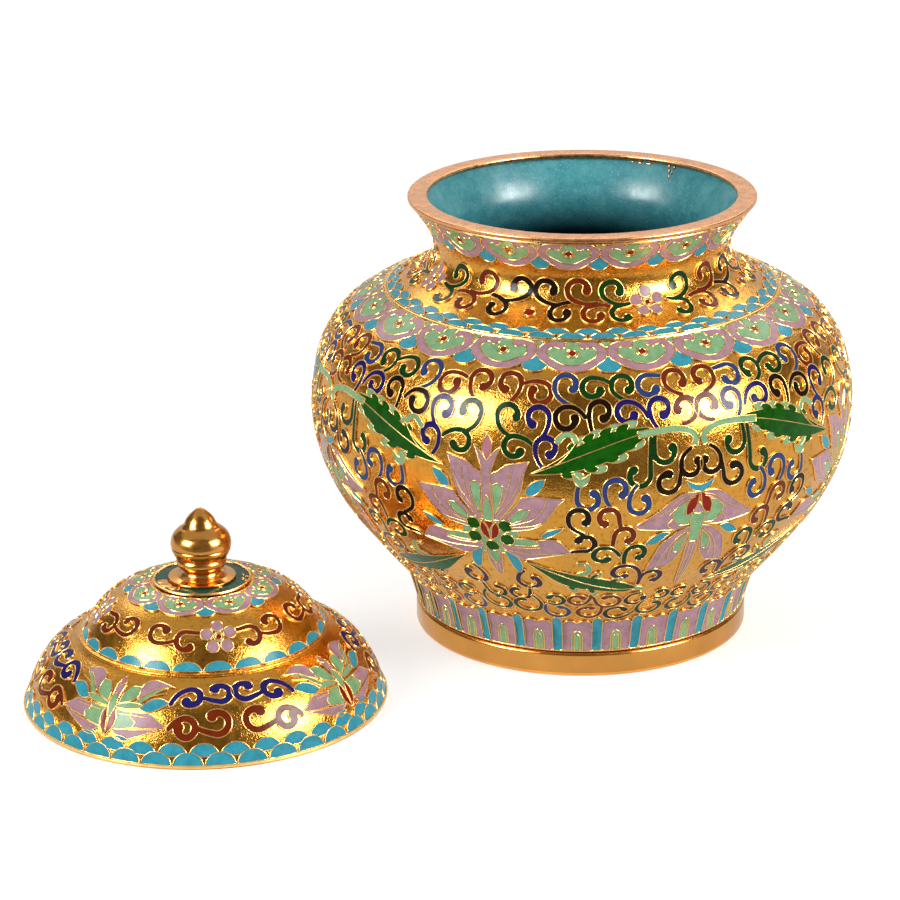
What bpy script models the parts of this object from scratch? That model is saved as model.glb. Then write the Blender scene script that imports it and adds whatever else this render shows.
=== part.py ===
"""A gilt copper ginger jar with champleve enamel, and its domed lid set down beside it.

The jar is one soldered shell: a hollow foot, a full belly, a narrow neck and a flared mouth, with
enamel outside and in. A turned ring closes the mouth and another carries the foot. The lid is a
two-tier dome whose thin rim caps the mouth ring, with a turned finial on a stud.
Metres, +Z up. The origin is on the table, at the middle of the box that holds jar and lid.
"""

import math

import bpy

# Jar, heights above the table
JAR_HEIGHT = 0.1167
BELLY_RADIUS = 0.0709
BELLY_HEIGHT = 0.0625
NECK_RADIUS = 0.0385
NECK_HEIGHT = 0.1038
JAR_WALL = 0.0028

# Mouth ring, soldered on the edge of the wall
LIP_RADIUS = 0.0450
LIP_WIDTH = 0.0051
LIP_THICKNESS = 0.0012
LIP_OVERHANG = 0.0006
LIP_EDGE_FILLET = 0.0004

# Foot
FOOT_RADIUS = 0.0439
FOOT_TAPER = 0.0001
WAIST_HEIGHT = 0.0095
FOOT_RING_HEIGHT = 0.0065
FOOT_RING_WALL = 0.0032
FOOT_RING_FILLET = 0.0009
BASE_HEIGHT = 0.0085
BASE_THICKNESS = 0.0028
FLOOR_FILLET = 0.0040

# Lid, heights above its rim
LID_CLEARANCE = 0.0003
LID_RIM_THICKNESS = 0.0009
LID_RIM_DEPTH = 0.0015
LID_SEAT_WIDTH = 0.0016
LID_WALL = 0.0022
LID_STEP_RADIUS = 0.0314
LID_STEP_HEIGHT = 0.0184
LID_LEDGE_WIDTH = 0.0012
LID_BEAD_RADIUS = 0.00045
LID_TOP_HEIGHT = 0.0317
LID_TOP_RADIUS = 0.0127

# Finial, heights above the lid's top
FINIAL_HEIGHT = 0.0189
FINIAL_DISC_RADIUS = 0.0085
FINIAL_DISC_THICKNESS = 0.0007
FINIAL_BALL_RADIUS = 0.0076
STUD_RADIUS = 0.0022
STUD_END = 0.0012

# The lid's axis from the jar's, as it was set down
LID_BESIDE_X = -0.0948
LID_BESIDE_Y = -0.0568

SEAM = 0.0003
JAR_SIDES = 44
LID_SIDES = 44
FINIAL_SIDES = 20
SPAN_STEPS = 2

# Free outlines as (share of the height, share of the radius) between the named sizes
FOOT_TO_BELLY = ((0.0, 0.0), (0.12, 0.085), (0.32, 0.411), (0.54, 0.735), (0.77, 0.937), (1.0, 1.0))
NECK_TO_BELLY = (
    (0.0, 0.0),
    (0.116, 0.059),
    (0.213, 0.238),
    (0.322, 0.525),
    (0.46, 0.77),
    (0.68, 0.935),
    (1.0, 1.0),
)
NECK_TO_MOUTH = ((0.0, 0.0), (0.444, 0.271), (1.0, 1.0))
RIM_TO_STEP = ((0.0, 0.0), (0.10, 0.056), (0.40, 0.202), (0.70, 0.446), (0.86, 0.68), (1.0, 1.0))
STEP_TO_TOP = ((0.0, 0.0), (0.25, 0.12), (0.47, 0.245), (0.68, 0.415), (0.88, 0.70), (1.0, 1.0))

# The finial's outline down its outer side, as (share of the height, share of the ball's radius)
FINIAL_TIP_SHARES = ((1.0, 0.0), (0.985, 0.10), (0.913, 0.31), (0.838, 0.456), (0.762, 0.545))
FINIAL_BALL_SHARES = (
    (0.724, 0.62),
    (0.687, 0.75),
    (0.611, 0.917),
    (0.498, 1.0),
    (0.385, 0.965),
    (0.297, 0.858),
)
FINIAL_COLLAR_SHARES = ((0.272, 0.79), (0.234, 0.834), (0.172, 0.81), (0.121, 0.68))
FINIAL_COVE_SHARES = ((0.084, 0.633), (0.046, 0.68), (0.0, 0.83))

GILT = (0.83, 0.58, 0.20, 1.0)
ROSE_GILT = (0.86, 0.50, 0.30, 1.0)


def smooth(knots, steps=SPAN_STEPS):
    """Points on a Catmull-Rom curve through the knots, which stay on it."""
    points = []
    for i in range(len(knots) - 1):
        before, start = knots[max(i - 1, 0)], knots[i]
        end, after = knots[i + 1], knots[min(i + 2, len(knots) - 1)]
        for step in range(steps):
            t = step / steps
            points.append(tuple(catmull_rom(*axis, t) for axis in zip(before, start, end, after)))
    return points + [tuple(knots[-1])]


def catmull_rom(a, b, c, d, t):
    bend = 2 * a - 5 * b + 4 * c - d
    twist = 3 * b - a - 3 * c + d
    return b + 0.5 * t * ((c - a) + t * (bend + t * twist))


def between(shares, start, end):
    """(radius, height) knots from start to end, with their shares of the way."""
    (r0, z0), (r1, z1) = start, end
    return [(r0 + (r1 - r0) * of_radius, z0 + (z1 - z0) * of_height) for of_height, of_radius in shares]


def arc(centre, radius, start_deg, end_deg, steps=1):
    """Points on a circle's arc, with both its ends."""
    angles = [math.radians(start_deg + (end_deg - start_deg) * i / steps) for i in range(steps + 1)]
    return [(centre[0] + radius * math.cos(a), centre[1] + radius * math.sin(a)) for a in angles]


def inset(outline, depth):
    """The outline moved square to itself by depth, to the right of its direction of travel."""
    moved = []
    for i, (r, z) in enumerate(outline):
        before, after = outline[max(i - 1, 0)], outline[min(i + 1, len(outline) - 1)]
        along_r, along_z = after[0] - before[0], after[1] - before[1]
        length = math.hypot(along_r, along_z)
        moved.append((r + depth * along_z / length, z - depth * along_r / length))
    return moved


def cut_at(outline, low, high):
    """The part of a rising outline between two heights, with a point on each."""
    kept = [point for point in outline if low < point[1] < high]
    for level in (low, high):
        for (r0, z0), (r1, z1) in zip(outline, outline[1:]):
            if z0 <= level < z1:
                kept.append((r0 + (r1 - r0) * (level - z0) / (z1 - z0), level))
    return sorted(kept, key=lambda point: point[1])


def metal(name, colour, roughness):
    material = bpy.data.materials.new(name)
    material.use_nodes = True
    shader = material.node_tree.nodes["Principled BSDF"]
    shader.inputs["Base Color"].default_value = colour
    shader.inputs["Metallic"].default_value = 1.0
    shader.inputs["Roughness"].default_value = roughness
    material.diffuse_color = colour
    return material


def turned(name, profile, sides, material, axis, closed=False):
    """A solid of revolution about its parent's axis, from (radius, height) points down its outer side."""
    count = len(profile)
    edges = [(i, i + 1) for i in range(count - 1)]
    if closed:
        edges.append((count - 1, 0))
    mesh = bpy.data.meshes.new(name)
    mesh.from_pydata([(r, 0.0, z) for r, z in profile], edges, [])
    mesh.materials.append(material)
    piece = bpy.data.objects.new(name, mesh)
    bpy.data.collections[COLLECTION].objects.link(piece)
    piece.parent = axis
    screw = piece.modifiers.new("Turning", "SCREW")
    screw.axis = "Z"
    screw.angle = math.tau
    screw.steps = sides
    screw.render_steps = sides
    screw.use_merge_vertices = True
    screw.merge_threshold = 0.00001
    screw.use_smooth_shade = True
    return piece


def ring_section(inner, outer, low, high, fillet):
    """A closed rectangular section with rounded corners, down its outer side first."""
    return (
        arc((outer - fillet, high - fillet), fillet, 90, 0)
        + arc((outer - fillet, low + fillet), fillet, 0, -90)
        + arc((inner + fillet, low + fillet), fillet, -90, -180)
        + arc((inner + fillet, high - fillet), fillet, -180, -270)
    )


def jar_outline(steps):
    """The jar's outer surface from the foot ring up to the mouth ring."""
    waist = (FOOT_RADIUS + FOOT_TAPER, WAIST_HEIGHT)
    belly = (BELLY_RADIUS, BELLY_HEIGHT)
    neck = (NECK_RADIUS, NECK_HEIGHT)
    mouth = (LIP_RADIUS - LIP_OVERHANG, JAR_HEIGHT - LIP_THICKNESS - SEAM)
    foot = (FOOT_RADIUS, FOOT_RING_HEIGHT + SEAM)
    lower = between(FOOT_TO_BELLY, waist, belly)
    upper = between(NECK_TO_BELLY, neck, belly)[::-1]
    flare = between(NECK_TO_MOUTH, neck, mouth)
    return smooth([foot] + lower + upper[1:] + flare[1:], steps)


def jar_body(axis):
    outer = jar_outline(SPAN_STEPS)
    base_top = BASE_HEIGHT + BASE_THICKNESS
    mouth_edge = outer[-1][1]
    floor_end = base_top + FLOOR_FILLET
    inner = cut_at(inset(jar_outline(1), -JAR_WALL), floor_end, mouth_edge)
    floor = arc((inner[0][0] - FLOOR_FILLET, floor_end), FLOOR_FILLET, -90, 0, 3)
    skirt = FOOT_RADIUS - FOOT_RING_WALL
    underside = [(skirt, outer[0][1]), (skirt, BASE_HEIGHT), (0.0, BASE_HEIGHT)]
    profile = [(0.0, base_top)] + floor[:-1] + inner + outer[::-1] + underside
    return turned("jar_body", profile, JAR_SIDES, metal("gilt enamelled copper", GILT, 0.30), axis)


def mouth_ring(axis):
    section = ring_section(
        LIP_RADIUS - LIP_WIDTH, LIP_RADIUS, JAR_HEIGHT - LIP_THICKNESS, JAR_HEIGHT, LIP_EDGE_FILLET
    )
    return turned("mouth_ring", section, JAR_SIDES, metal("rose gilt", ROSE_GILT, 0.25), axis, closed=True)


def foot_ring(axis):
    section = ring_section(
        FOOT_RADIUS - FOOT_RING_WALL, FOOT_RADIUS, 0.0, FOOT_RING_HEIGHT, FOOT_RING_FILLET
    )
    return turned("foot_ring", section, JAR_SIDES, metal("satin gilt", GILT, 0.35), axis, closed=True)


def lid(axis):
    rim = LIP_RADIUS + LID_CLEARANCE + LID_RIM_THICKNESS
    ledge = (LID_STEP_RADIUS + LID_LEDGE_WIDTH, LID_STEP_HEIGHT - LID_BEAD_RADIUS)
    skirt = smooth(between(RIM_TO_STEP, (rim, 0.0), ledge))
    bead = arc((LID_STEP_RADIUS, LID_STEP_HEIGHT), LID_BEAD_RADIUS, -45, 90, 3)
    dome = smooth(
        between(
            STEP_TO_TOP,
            (LID_STEP_RADIUS - LID_BEAD_RADIUS, LID_STEP_HEIGHT + LID_BEAD_RADIUS),
            (LID_TOP_RADIUS, LID_TOP_HEIGHT),
        )
    )
    hole = STUD_RADIUS + SEAM
    outer = skirt + bead + dome[1:] + [(hole, LID_TOP_HEIGHT)]
    bore = LIP_RADIUS + LID_CLEARANCE
    seat_inner = bore - LID_SEAT_WIDTH
    under_skirt = [
        point for point in inset(skirt, -LID_WALL)[::2] if point[1] > LID_RIM_DEPTH and point[0] < seat_inner
    ]
    under_dome = [point for point in inset(dome, -LID_WALL)[::2] if point[0] < under_skirt[-1][0]]
    inner = (
        [(rim - LID_RIM_THICKNESS, 0.0), (bore, LID_RIM_DEPTH), (seat_inner, LID_RIM_DEPTH)]
        + under_skirt
        + under_dome
        + [(hole, LID_TOP_HEIGHT - LID_WALL)]
    )
    material = metal("gilt enamelled copper lid", GILT, 0.30)
    return turned("lid", outer[::-1] + inner, LID_SIDES, material, axis, closed=True)


def lid_finial(axis):
    """Disc, cove, collar, ball and pointed tip turned in one, with the stud that holds it."""
    bottom = LID_TOP_HEIGHT + SEAM
    top = LID_TOP_HEIGHT + FINIAL_HEIGHT
    disc_top = bottom + FINIAL_DISC_THICKNESS
    rise = top - disc_top

    def at(of_height, of_ball):
        return (FINIAL_BALL_RADIUS * of_ball, disc_top + rise * of_height)

    above = FINIAL_TIP_SHARES + FINIAL_BALL_SHARES
    below = FINIAL_COLLAR_SHARES + FINIAL_COVE_SHARES
    knob = [at(*shares) for shares in above + below]
    disc = [(FINIAL_DISC_RADIUS, disc_top), (FINIAL_DISC_RADIUS, bottom)]
    stud_end = LID_TOP_HEIGHT - LID_WALL - STUD_END
    stud = [(STUD_RADIUS, bottom), (STUD_RADIUS, stud_end), (0.0, stud_end)]
    profile = knob + disc + stud
    return turned("lid_finial", profile, FINIAL_SIDES, metal("turned gilt brass", GILT, 0.18), axis)


def axis_at(name, x, y):
    """An empty on a turned piece's axis, at the table."""
    empty = bpy.data.objects.new(name, None)
    bpy.data.collections[COLLECTION].objects.link(empty)
    empty.location = (x, y, 0.0)
    empty.empty_display_size = BELLY_RADIUS
    return empty


def middle_of_span(lid_shift):
    """The middle of jar and lid along one direction, from the jar's axis."""
    rim = LIP_RADIUS + LID_CLEARANCE + LID_RIM_THICKNESS
    low = min(-BELLY_RADIUS, lid_shift - rim)
    high = max(BELLY_RADIUS, lid_shift + rim)
    return (low + high) / 2


COLLECTION = "champleve_ginger_jar"


def main():
    for obj in list(bpy.data.objects):
        bpy.data.objects.remove(obj)
    collection = bpy.data.collections.new(COLLECTION)
    bpy.context.scene.collection.children.link(collection)
    jar_x, jar_y = -middle_of_span(LID_BESIDE_X), -middle_of_span(LID_BESIDE_Y)
    jar_axis = axis_at("jar_axis", jar_x, jar_y)
    lid_axis = axis_at("lid_axis", jar_x + LID_BESIDE_X, jar_y + LID_BESIDE_Y)
    jar_body(jar_axis)
    mouth_ring(jar_axis)
    foot_ring(jar_axis)
    lid(lid_axis)
    lid_finial(lid_axis)


main()
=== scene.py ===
"""Looks of the gilt champleve ginger jar and of the lid set down beside it.

Every band of the decoration is drawn flat, as cells of enamel edged with gilt wire. A flat drawing runs
in degrees round the axis and in millimetres up the turned surface. Geometry Nodes repeat it round the
jar or the lid and lay it on the outline.
"""
import math

import bmesh
import bpy
import numpy as np
from mathutils import Matrix, Vector
from mathutils.geometry import delaunay_2d_cdt


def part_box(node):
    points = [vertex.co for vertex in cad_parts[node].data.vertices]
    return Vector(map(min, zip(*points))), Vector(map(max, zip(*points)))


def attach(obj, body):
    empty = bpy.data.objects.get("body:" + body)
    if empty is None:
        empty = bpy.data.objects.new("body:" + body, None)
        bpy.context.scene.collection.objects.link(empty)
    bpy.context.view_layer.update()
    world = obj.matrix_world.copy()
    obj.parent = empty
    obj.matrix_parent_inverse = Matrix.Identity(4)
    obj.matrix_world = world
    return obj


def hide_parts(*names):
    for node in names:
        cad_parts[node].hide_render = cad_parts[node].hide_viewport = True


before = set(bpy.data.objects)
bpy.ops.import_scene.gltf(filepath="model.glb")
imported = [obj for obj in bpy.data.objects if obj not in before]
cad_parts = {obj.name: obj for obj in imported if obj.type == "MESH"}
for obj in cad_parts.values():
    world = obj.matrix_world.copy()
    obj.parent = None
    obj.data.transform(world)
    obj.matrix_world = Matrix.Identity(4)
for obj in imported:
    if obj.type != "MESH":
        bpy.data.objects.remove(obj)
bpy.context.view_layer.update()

MM = 0.001
BODY = "root"

# Turned pieces, from the frame and from the part's own sizes
jar_low, jar_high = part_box("jar_body")
lid_low, lid_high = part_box("lid")
JAR_AXIS = ((jar_low.x + jar_high.x) / 2, (jar_low.y + jar_high.y) / 2)
LID_AXIS = ((lid_low.x + lid_high.x) / 2, (lid_low.y + lid_high.y) / 2)
JAR_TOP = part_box("mouth_ring")[1].z / MM
FOOT_RADIUS = 43.9
FOOT_RING_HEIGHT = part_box("foot_ring")[1].z / MM
LIP_RADIUS = 45.0
LIP_INNER_RADIUS = 39.9
LIP_THICKNESS = 1.2
SEAM = 0.3
WAIST = (44.0, 9.5)
BELLY = (70.9, 62.5)
NECK = (38.5, 103.8)
MOUTH = (44.4, JAR_TOP - LIP_THICKNESS - SEAM)
JAR_WALL = 2.8
BASE_HEIGHT = 8.5
BASE_THICKNESS = 2.8
FLOOR_FILLET = 4.0
# Heights in millimetres from the darkest painted shade of the jar's lining up to its own colour
LINING_DARK, LINING_LIGHT = 87.0, 112.0
FOOT_RING_WALL = 3.2
LID_RIM = (46.2, 0.0)
LID_STEP = (31.4, 18.4)
LID_BEAD = 0.45
LID_LEDGE = 1.2
LID_TOP = (12.7, lid_high.z / MM)
LID_WALL = 2.2
LID_SEAT_DEPTH = 1.5
LID_SEAT = (45.3, 43.7)
STUD_HOLE = 2.5
STUD_RADIUS = 2.2
FINIAL_DISC_RADIUS = 8.5
FINIAL_DISC_THICKNESS = 0.7
FINIAL_BALL_RADIUS = 7.6
FINIAL_DISC_ROUNDING = 0.2
FINIAL_GROOVE_SHARE = 0.43
FINIAL_GROOVE_DEPTH = 0.22
FINIAL_GROOVE_WIDTH = 0.16

FOOT_TO_BELLY = ((0.0, 0.0), (0.12, 0.085), (0.32, 0.411), (0.54, 0.735), (0.77, 0.937), (1.0, 1.0))
NECK_TO_BELLY = (
    (0.0, 0.0), (0.116, 0.059), (0.213, 0.238), (0.322, 0.525), (0.46, 0.77), (0.68, 0.935), (1.0, 1.0)
)
NECK_TO_MOUTH = ((0.0, 0.0), (0.444, 0.271), (1.0, 1.0))
RIM_TO_STEP = ((0.0, 0.0), (0.10, 0.056), (0.40, 0.202), (0.70, 0.446), (0.86, 0.68), (1.0, 1.0))
STEP_TO_TOP = ((0.0, 0.0), (0.25, 0.12), (0.47, 0.245), (0.68, 0.415), (0.88, 0.70), (1.0, 1.0))
FINIAL_TIP = ((1.0, 0.0), (0.985, 0.10), (0.913, 0.31), (0.838, 0.456), (0.762, 0.545))
FINIAL_BALL = ((0.724, 0.62), (0.687, 0.75), (0.611, 0.917), (0.498, 1.0), (0.385, 0.965), (0.297, 0.858))
FINIAL_COLLAR = ((0.272, 0.79), (0.234, 0.834), (0.172, 0.81), (0.121, 0.68))
FINIAL_COVE = ((0.084, 0.633), (0.046, 0.68), (0.0, 0.83))

# Directions round each axis that the decoration is set out from, in degrees, and how often it repeats
LOTUS_FACING = -19.1
BELLY_HALF_PANEL = 43.7
NECK_FACING = -17.5
NECK_HALF_PANEL = 41.2
JAR_PANELS = 4
FOOT_PETALS = 28
LID_PANELS = 4

# Drops of solder: angle, radius, height over the lid's disc, and half sizes outward, round and up
SOLDER = (
    (199, 10.0, 0.0, 1.7, 1.8, 0.2), (213, 9.9, 0.0, 1.9, 2.2, 0.24), (229, 9.6, 0.0, 1.5, 2.0, 0.2),
    (-3, 10.4, 0.0, 0.5, 0.7, 0.3), (4, 11.2, 0.0, 0.6, 0.4, 0.25), (-9, 11.3, 0.0, 0.35, 0.5, 0.2),
    (11, 10.3, 0.0, 0.4, 0.6, 0.25), (-52, 8.7, 0.1, 0.5, 0.6, 0.45),
)

# Gilding that ran down the lining: angle, distance below the mouth, and half sizes outward, round and up
GILDING_RUN = (
    (55.0, 0.6, 0.22, 0.34, 0.9), (54.3, 1.7, 0.2, 0.3, 1.0), (53.5, 2.9, 0.18, 0.24, 0.9),
    (52.6, 0.7, 0.2, 0.3, 0.9), (52.9, 1.9, 0.18, 0.26, 1.0), (64.0, 0.4, 0.2, 1.0, 0.3),
    (67.5, 0.5, 0.18, 0.7, 0.4), (70.5, 0.4, 0.18, 0.4, 0.5),
)

# Enamel work, in millimetres; the wire's crown and lift and a scroll head's reach and width are shares
ENAMEL_RELIEF = 0.24
ENAMEL_SINK = 0.15
WIRE_WIDTH = 0.34
WIRE_CROWN = 0.5
WIRE_RELIEF = 0.40
WIRE_LIFT = 0.45
STROKE = 1.6
HEAD_REACH = 0.68
HEAD_WIDTH = 1.5
POINT_SPACING = 0.68
FILL_SPACING = 1.7

# Round wires on the jar, as (millimetres up, thickness), and on the lid's rim and round its top
BAND_WIRES = ((102.0, 0.40), (0.35, 0.25), (133.0, 0.22))
RIM_WIRE_INSET, RIM_WIRE_HEIGHT, RIM_WIRE = 0.45, 0.62, 0.36
TOP_WIRE_INSET, TOP_WIRE_LIFT, TOP_WIRE = 0.6, 0.2, 0.34

# Plum blossoms and the open lotus's seeds, in millimetres; a seed's place is in degrees and millimetres
BLOSSOM_REACH, BLOSSOM_PETAL, BLOSSOM_MIDDLE, BLOSSOM_EYE = 3.0, 1.6, 1.25, 0.8
LOTUS_MIDDLE = 48
SEED_RADIUS = 1.85
SEEDS = ((0.0, -4.4), (3.6, -1.8), (3.5, 2.4), (-3.6, -1.8), (-3.5, 2.4))

# Angles from which an edge is sharp, in degrees
SHARP_TURNED, SHARP_ENAMEL = 40, 50

# Enamels whose strokes run into one another without a wire between
FLOWING = ("leaf", "green", "rust", "navy", "slate", "black", "plum")

# Camera, fitted to the jar's and the lid's circles in the photograph
CAMERA_FROM_JAR = Vector((0.0, -0.8334, 0.3372))
CAMERA_YAW, CAMERA_PITCH, CAMERA_ROLL = -2.379, 19.234, -0.532
FOCAL_PIXELS = 3335.16
FRAME_PIXELS = 900
SENSOR = 36.0

# Lights: name, place, what they face, width, height, power and the kind of ray that misses them
PIECES = (0.0, 0.0, 0.06)
SOFTBOXES = (
    ("left_softbox", (-0.77, -0.56, 0.54), PIECES, 0.52, 0.52, 9.5),
    ("right_softbox", (0.84, -0.44, 0.51), PIECES, 0.55, 0.52, 10.0),
    ("left_core", (-0.76, -0.55, 0.535), PIECES, 0.32, 0.30, 5.0, "visible_diffuse"),
    ("right_core", (0.83, -0.435, 0.505), PIECES, 0.36, 0.32, 6.5, "visible_diffuse"),
    ("top_softbox", (0.0, 0.1, 1.5), (0.0, 0.1, 0.0), 2.2, 2.0, 7.0, "visible_glossy"),
    ("back_softbox", (0.0, 1.3, 1.3), (0.0, 0.7, 0.0), 2.4, 0.8, 16.0),
)

# Sheets: name, two corners, glow, own colour and whether they are seen in reflections only
SHEETS = (
    ("light_table", (-8.0, -8.0, 0.0), (8.0, 8.0, 0.0), 0.60, (0.42, 0.42, 0.42, 1.0), False),
    ("ceiling_card", (-1.6, -0.5, 1.4), (1.6, 1.6, 1.4), 0.50),
    ("backdrop_card", (-1.6, 1.6, 0.1), (1.6, 1.6, 1.4), 0.64),
    ("table_card", (-8.0, -8.0, 0.001), (8.0, 8.0, 0.001), 0.72),
    ("dark_flag", (-1.4, -1.6, 0.002), (1.4, -0.17, 0.002), 0.0, (0.03, 0.025, 0.02, 1.0)),
)
AIR = (1.0, 0.88, 0.66, 1.0)
AIR_GLOW = 0.14

SIDES = 192
STEPS = 6


# Outlines


def catmull_rom(a, b, c, d, t):
    bend = 2 * a - 5 * b + 4 * c - d
    twist = 3 * b - a - 3 * c + d
    return b + 0.5 * t * ((c - a) + t * (bend + t * twist))


def smooth(knots, steps=STEPS):
    """Points on a Catmull-Rom curve through the knots, which stay on it."""
    points = []
    for i in range(len(knots) - 1):
        before, start = knots[max(i - 1, 0)], knots[i]
        end, after = knots[i + 1], knots[min(i + 2, len(knots) - 1)]
        for step in range(steps):
            t = step / steps
            points.append(tuple(catmull_rom(*axis, t) for axis in zip(before, start, end, after)))
    return points + [tuple(knots[-1])]


def between(shares, start, end):
    """(radius, height) knots from start to end, with their shares of the way."""
    (r0, z0), (r1, z1) = start, end
    return [(r0 + (r1 - r0) * of_radius, z0 + (z1 - z0) * of_height) for of_height, of_radius in shares]


def arc(centre, radius, start_deg, end_deg, steps=6):
    """Points on a part of a circle."""
    angles = [math.radians(start_deg + (end_deg - start_deg) * i / steps) for i in range(steps + 1)]
    return [(centre[0] + radius * math.cos(a), centre[1] + radius * math.sin(a)) for a in angles]


def inset(outline, depth):
    """The outline moved square to itself by depth, to the left of its direction of travel."""
    points = []
    for i, (r, z) in enumerate(outline):
        before, after = outline[max(i - 1, 0)], outline[min(i + 1, len(outline) - 1)]
        along_r, along_z = after[0] - before[0], after[1] - before[1]
        length = math.hypot(along_r, along_z)
        points.append((r - depth * along_z / length, z + depth * along_r / length))
    return points


def cut_at(outline, low, high):
    """The part of a rising outline between two heights, with a point on each."""
    kept = [point for point in outline if low < point[1] < high]
    for level in (low, high):
        for (r0, z0), (r1, z1) in zip(outline, outline[1:]):
            if z0 <= level < z1:
                kept.append((r0 + (r1 - r0) * (level - z0) / (z1 - z0), level))
    return sorted(kept, key=lambda point: point[1])


def ground(outline):
    """The gilt ground, a wire's height below the part's surface, which runs over the wires."""
    low, high = outline[0][1], outline[-1][1]
    return [(r, min(max(z, low), high)) for r, z in inset(outline, WIRE_RELIEF)]


JAR_SURFACE = smooth(
    [(FOOT_RADIUS, FOOT_RING_HEIGHT + SEAM)]
    + between(FOOT_TO_BELLY, WAIST, BELLY)
    + between(NECK_TO_BELLY, NECK, BELLY)[::-1][1:]
    + between(NECK_TO_MOUTH, NECK, MOUTH)[1:]
)
SKIRT_SURFACE = smooth(
    between(RIM_TO_STEP, LID_RIM, (LID_STEP[0] + LID_LEDGE, LID_STEP[1] - LID_BEAD))
)
DOME_SURFACE = smooth(
    between(STEP_TO_TOP, (LID_STEP[0] - LID_BEAD, LID_STEP[1] + LID_BEAD), LID_TOP)
)
JAR_OUTLINE, SKIRT_OUTLINE, DOME_OUTLINE = ground(JAR_SURFACE), ground(SKIRT_SURFACE), ground(DOME_SURFACE)


def new_object(name, data):
    made = bpy.data.objects.new(name, data)
    bpy.context.scene.collection.objects.link(made)
    return made


class Turning:
    """A turned surface: its axis, the distance up its outline, and the outline as a curve to sample."""

    def __init__(self, name, axis, outline):
        self.axis = axis
        self.radii = [r for r, _ in outline]
        steps = [math.dist(a, b) for a, b in zip(outline, outline[1:])]
        self.run = [0.0] + list(np.cumsum(steps))
        curve = bpy.data.curves.new(name, "CURVE")
        curve.dimensions = "3D"
        spline = curve.splines.new("POLY")
        spline.points.add(len(outline) - 1)
        for point, (r, z) in zip(spline.points, outline):
            point.co = (r * MM, 0.0, z * MM, 1.0)
        self.curve = new_object(name, curve)

    def radius(self, up):
        return float(np.interp(up, self.run, self.radii))


# Nodes and materials

BLACK, WHITE = (0.0, 0.0, 0.0, 1.0), (1.0, 1.0, 1.0, 1.0)


def new_node(tree, kind, values=(), **settings):
    """A node whose inputs have these values, or are linked to these outputs of other nodes."""
    made = tree.nodes.new(kind)
    for name, value in settings.items():
        setattr(made, name, value)
    fill(tree, made.inputs, values)
    return made


def fill(tree, inputs, values):
    for name, value in dict(values).items():
        if isinstance(value, bpy.types.NodeSocket):
            tree.links.new(value, inputs[name])
        else:
            inputs[name].default_value = value


def node(*kind_and_values, **settings):
    """The outputs of a new node."""
    return new_node(*kind_and_values, **settings).outputs


def linear(*srgb):
    """A colour of 0 to 255 as the light it stands for."""
    share = [value / 255 for value in srgb]
    return tuple(v / 12.92 if v <= 0.04045 else ((v + 0.055) / 1.055) ** 2.4 for v in share) + (1.0,)


def shade(colour, factor):
    return tuple(min(1.0, value * factor) for value in colour[:3]) + (1.0,)


class Finish:
    """A material's node tree, with short calls for what every finish here needs.

    The scale of a noise is its number of grains to a metre, and the depth of a bump is in millimetres.
    """

    def __init__(self, name, colour, roughness, metallic=0.0, specular=0.5):
        self.material = bpy.data.materials.new(name)
        self.material.use_nodes = True
        self.material.diffuse_color = colour
        self.tree = self.material.node_tree
        self.place = node(self.tree, "ShaderNodeTexCoord")["Object"]
        self.feed({"Base Color": colour, "Roughness": roughness})
        self.feed({"Metallic": metallic, "Specular IOR Level": specular})

    def feed(self, values):
        fill(self.tree, self.tree.nodes["Principled BSDF"].inputs, values)

    def done(self, colour, roughness, normal):
        self.feed({"Base Color": colour, "Roughness": roughness, "Normal": normal})
        return self.material

    def stretched(self, across, up):
        """Object coordinates scaled apart, so that a grain runs round the axis."""
        values = {"Vector": self.place, "Scale": (across, across, up)}
        return node(self.tree, "ShaderNodeMapping", values)["Vector"]

    def noise(self, scale, detail=2.0, rough=0.5, place=None):
        values = {"Vector": place or self.place, "Scale": scale, "Detail": detail, "Roughness": rough}
        return node(self.tree, "ShaderNodeTexNoise", values)["Fac"]

    def ramp(self, factor, *stops):
        made = new_node(self.tree, "ShaderNodeValToRGB", {"Fac": factor})
        elements = made.color_ramp.elements
        while len(elements) < len(stops):
            elements.new(0.5)
        for element, (position, colour) in zip(elements, stops):
            element.position = position
            element.color = colour
        return made.outputs["Color"]

    def mix(self, factor, a, b, blend="MIX"):
        values = {0: factor, 6: a, 7: b}
        return node(self.tree, "ShaderNodeMix", values, data_type="RGBA", blend_type=blend)[2]

    def spread(self, factor, low, high, start=0.3, end=0.7):
        """The factor's stretch from start to end, spread out from low to high."""
        values = {"Value": factor, "From Min": start, "From Max": end, "To Min": low, "To Max": high}
        return node(self.tree, "ShaderNodeMapRange", values)["Result"]

    def bump(self, height, depth, below=None):
        values = {"Height": height, "Distance": depth * MM, "Strength": 1.0}
        if below:
            values["Normal"] = below
        return node(self.tree, "ShaderNodeBump", values)["Normal"]


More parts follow.
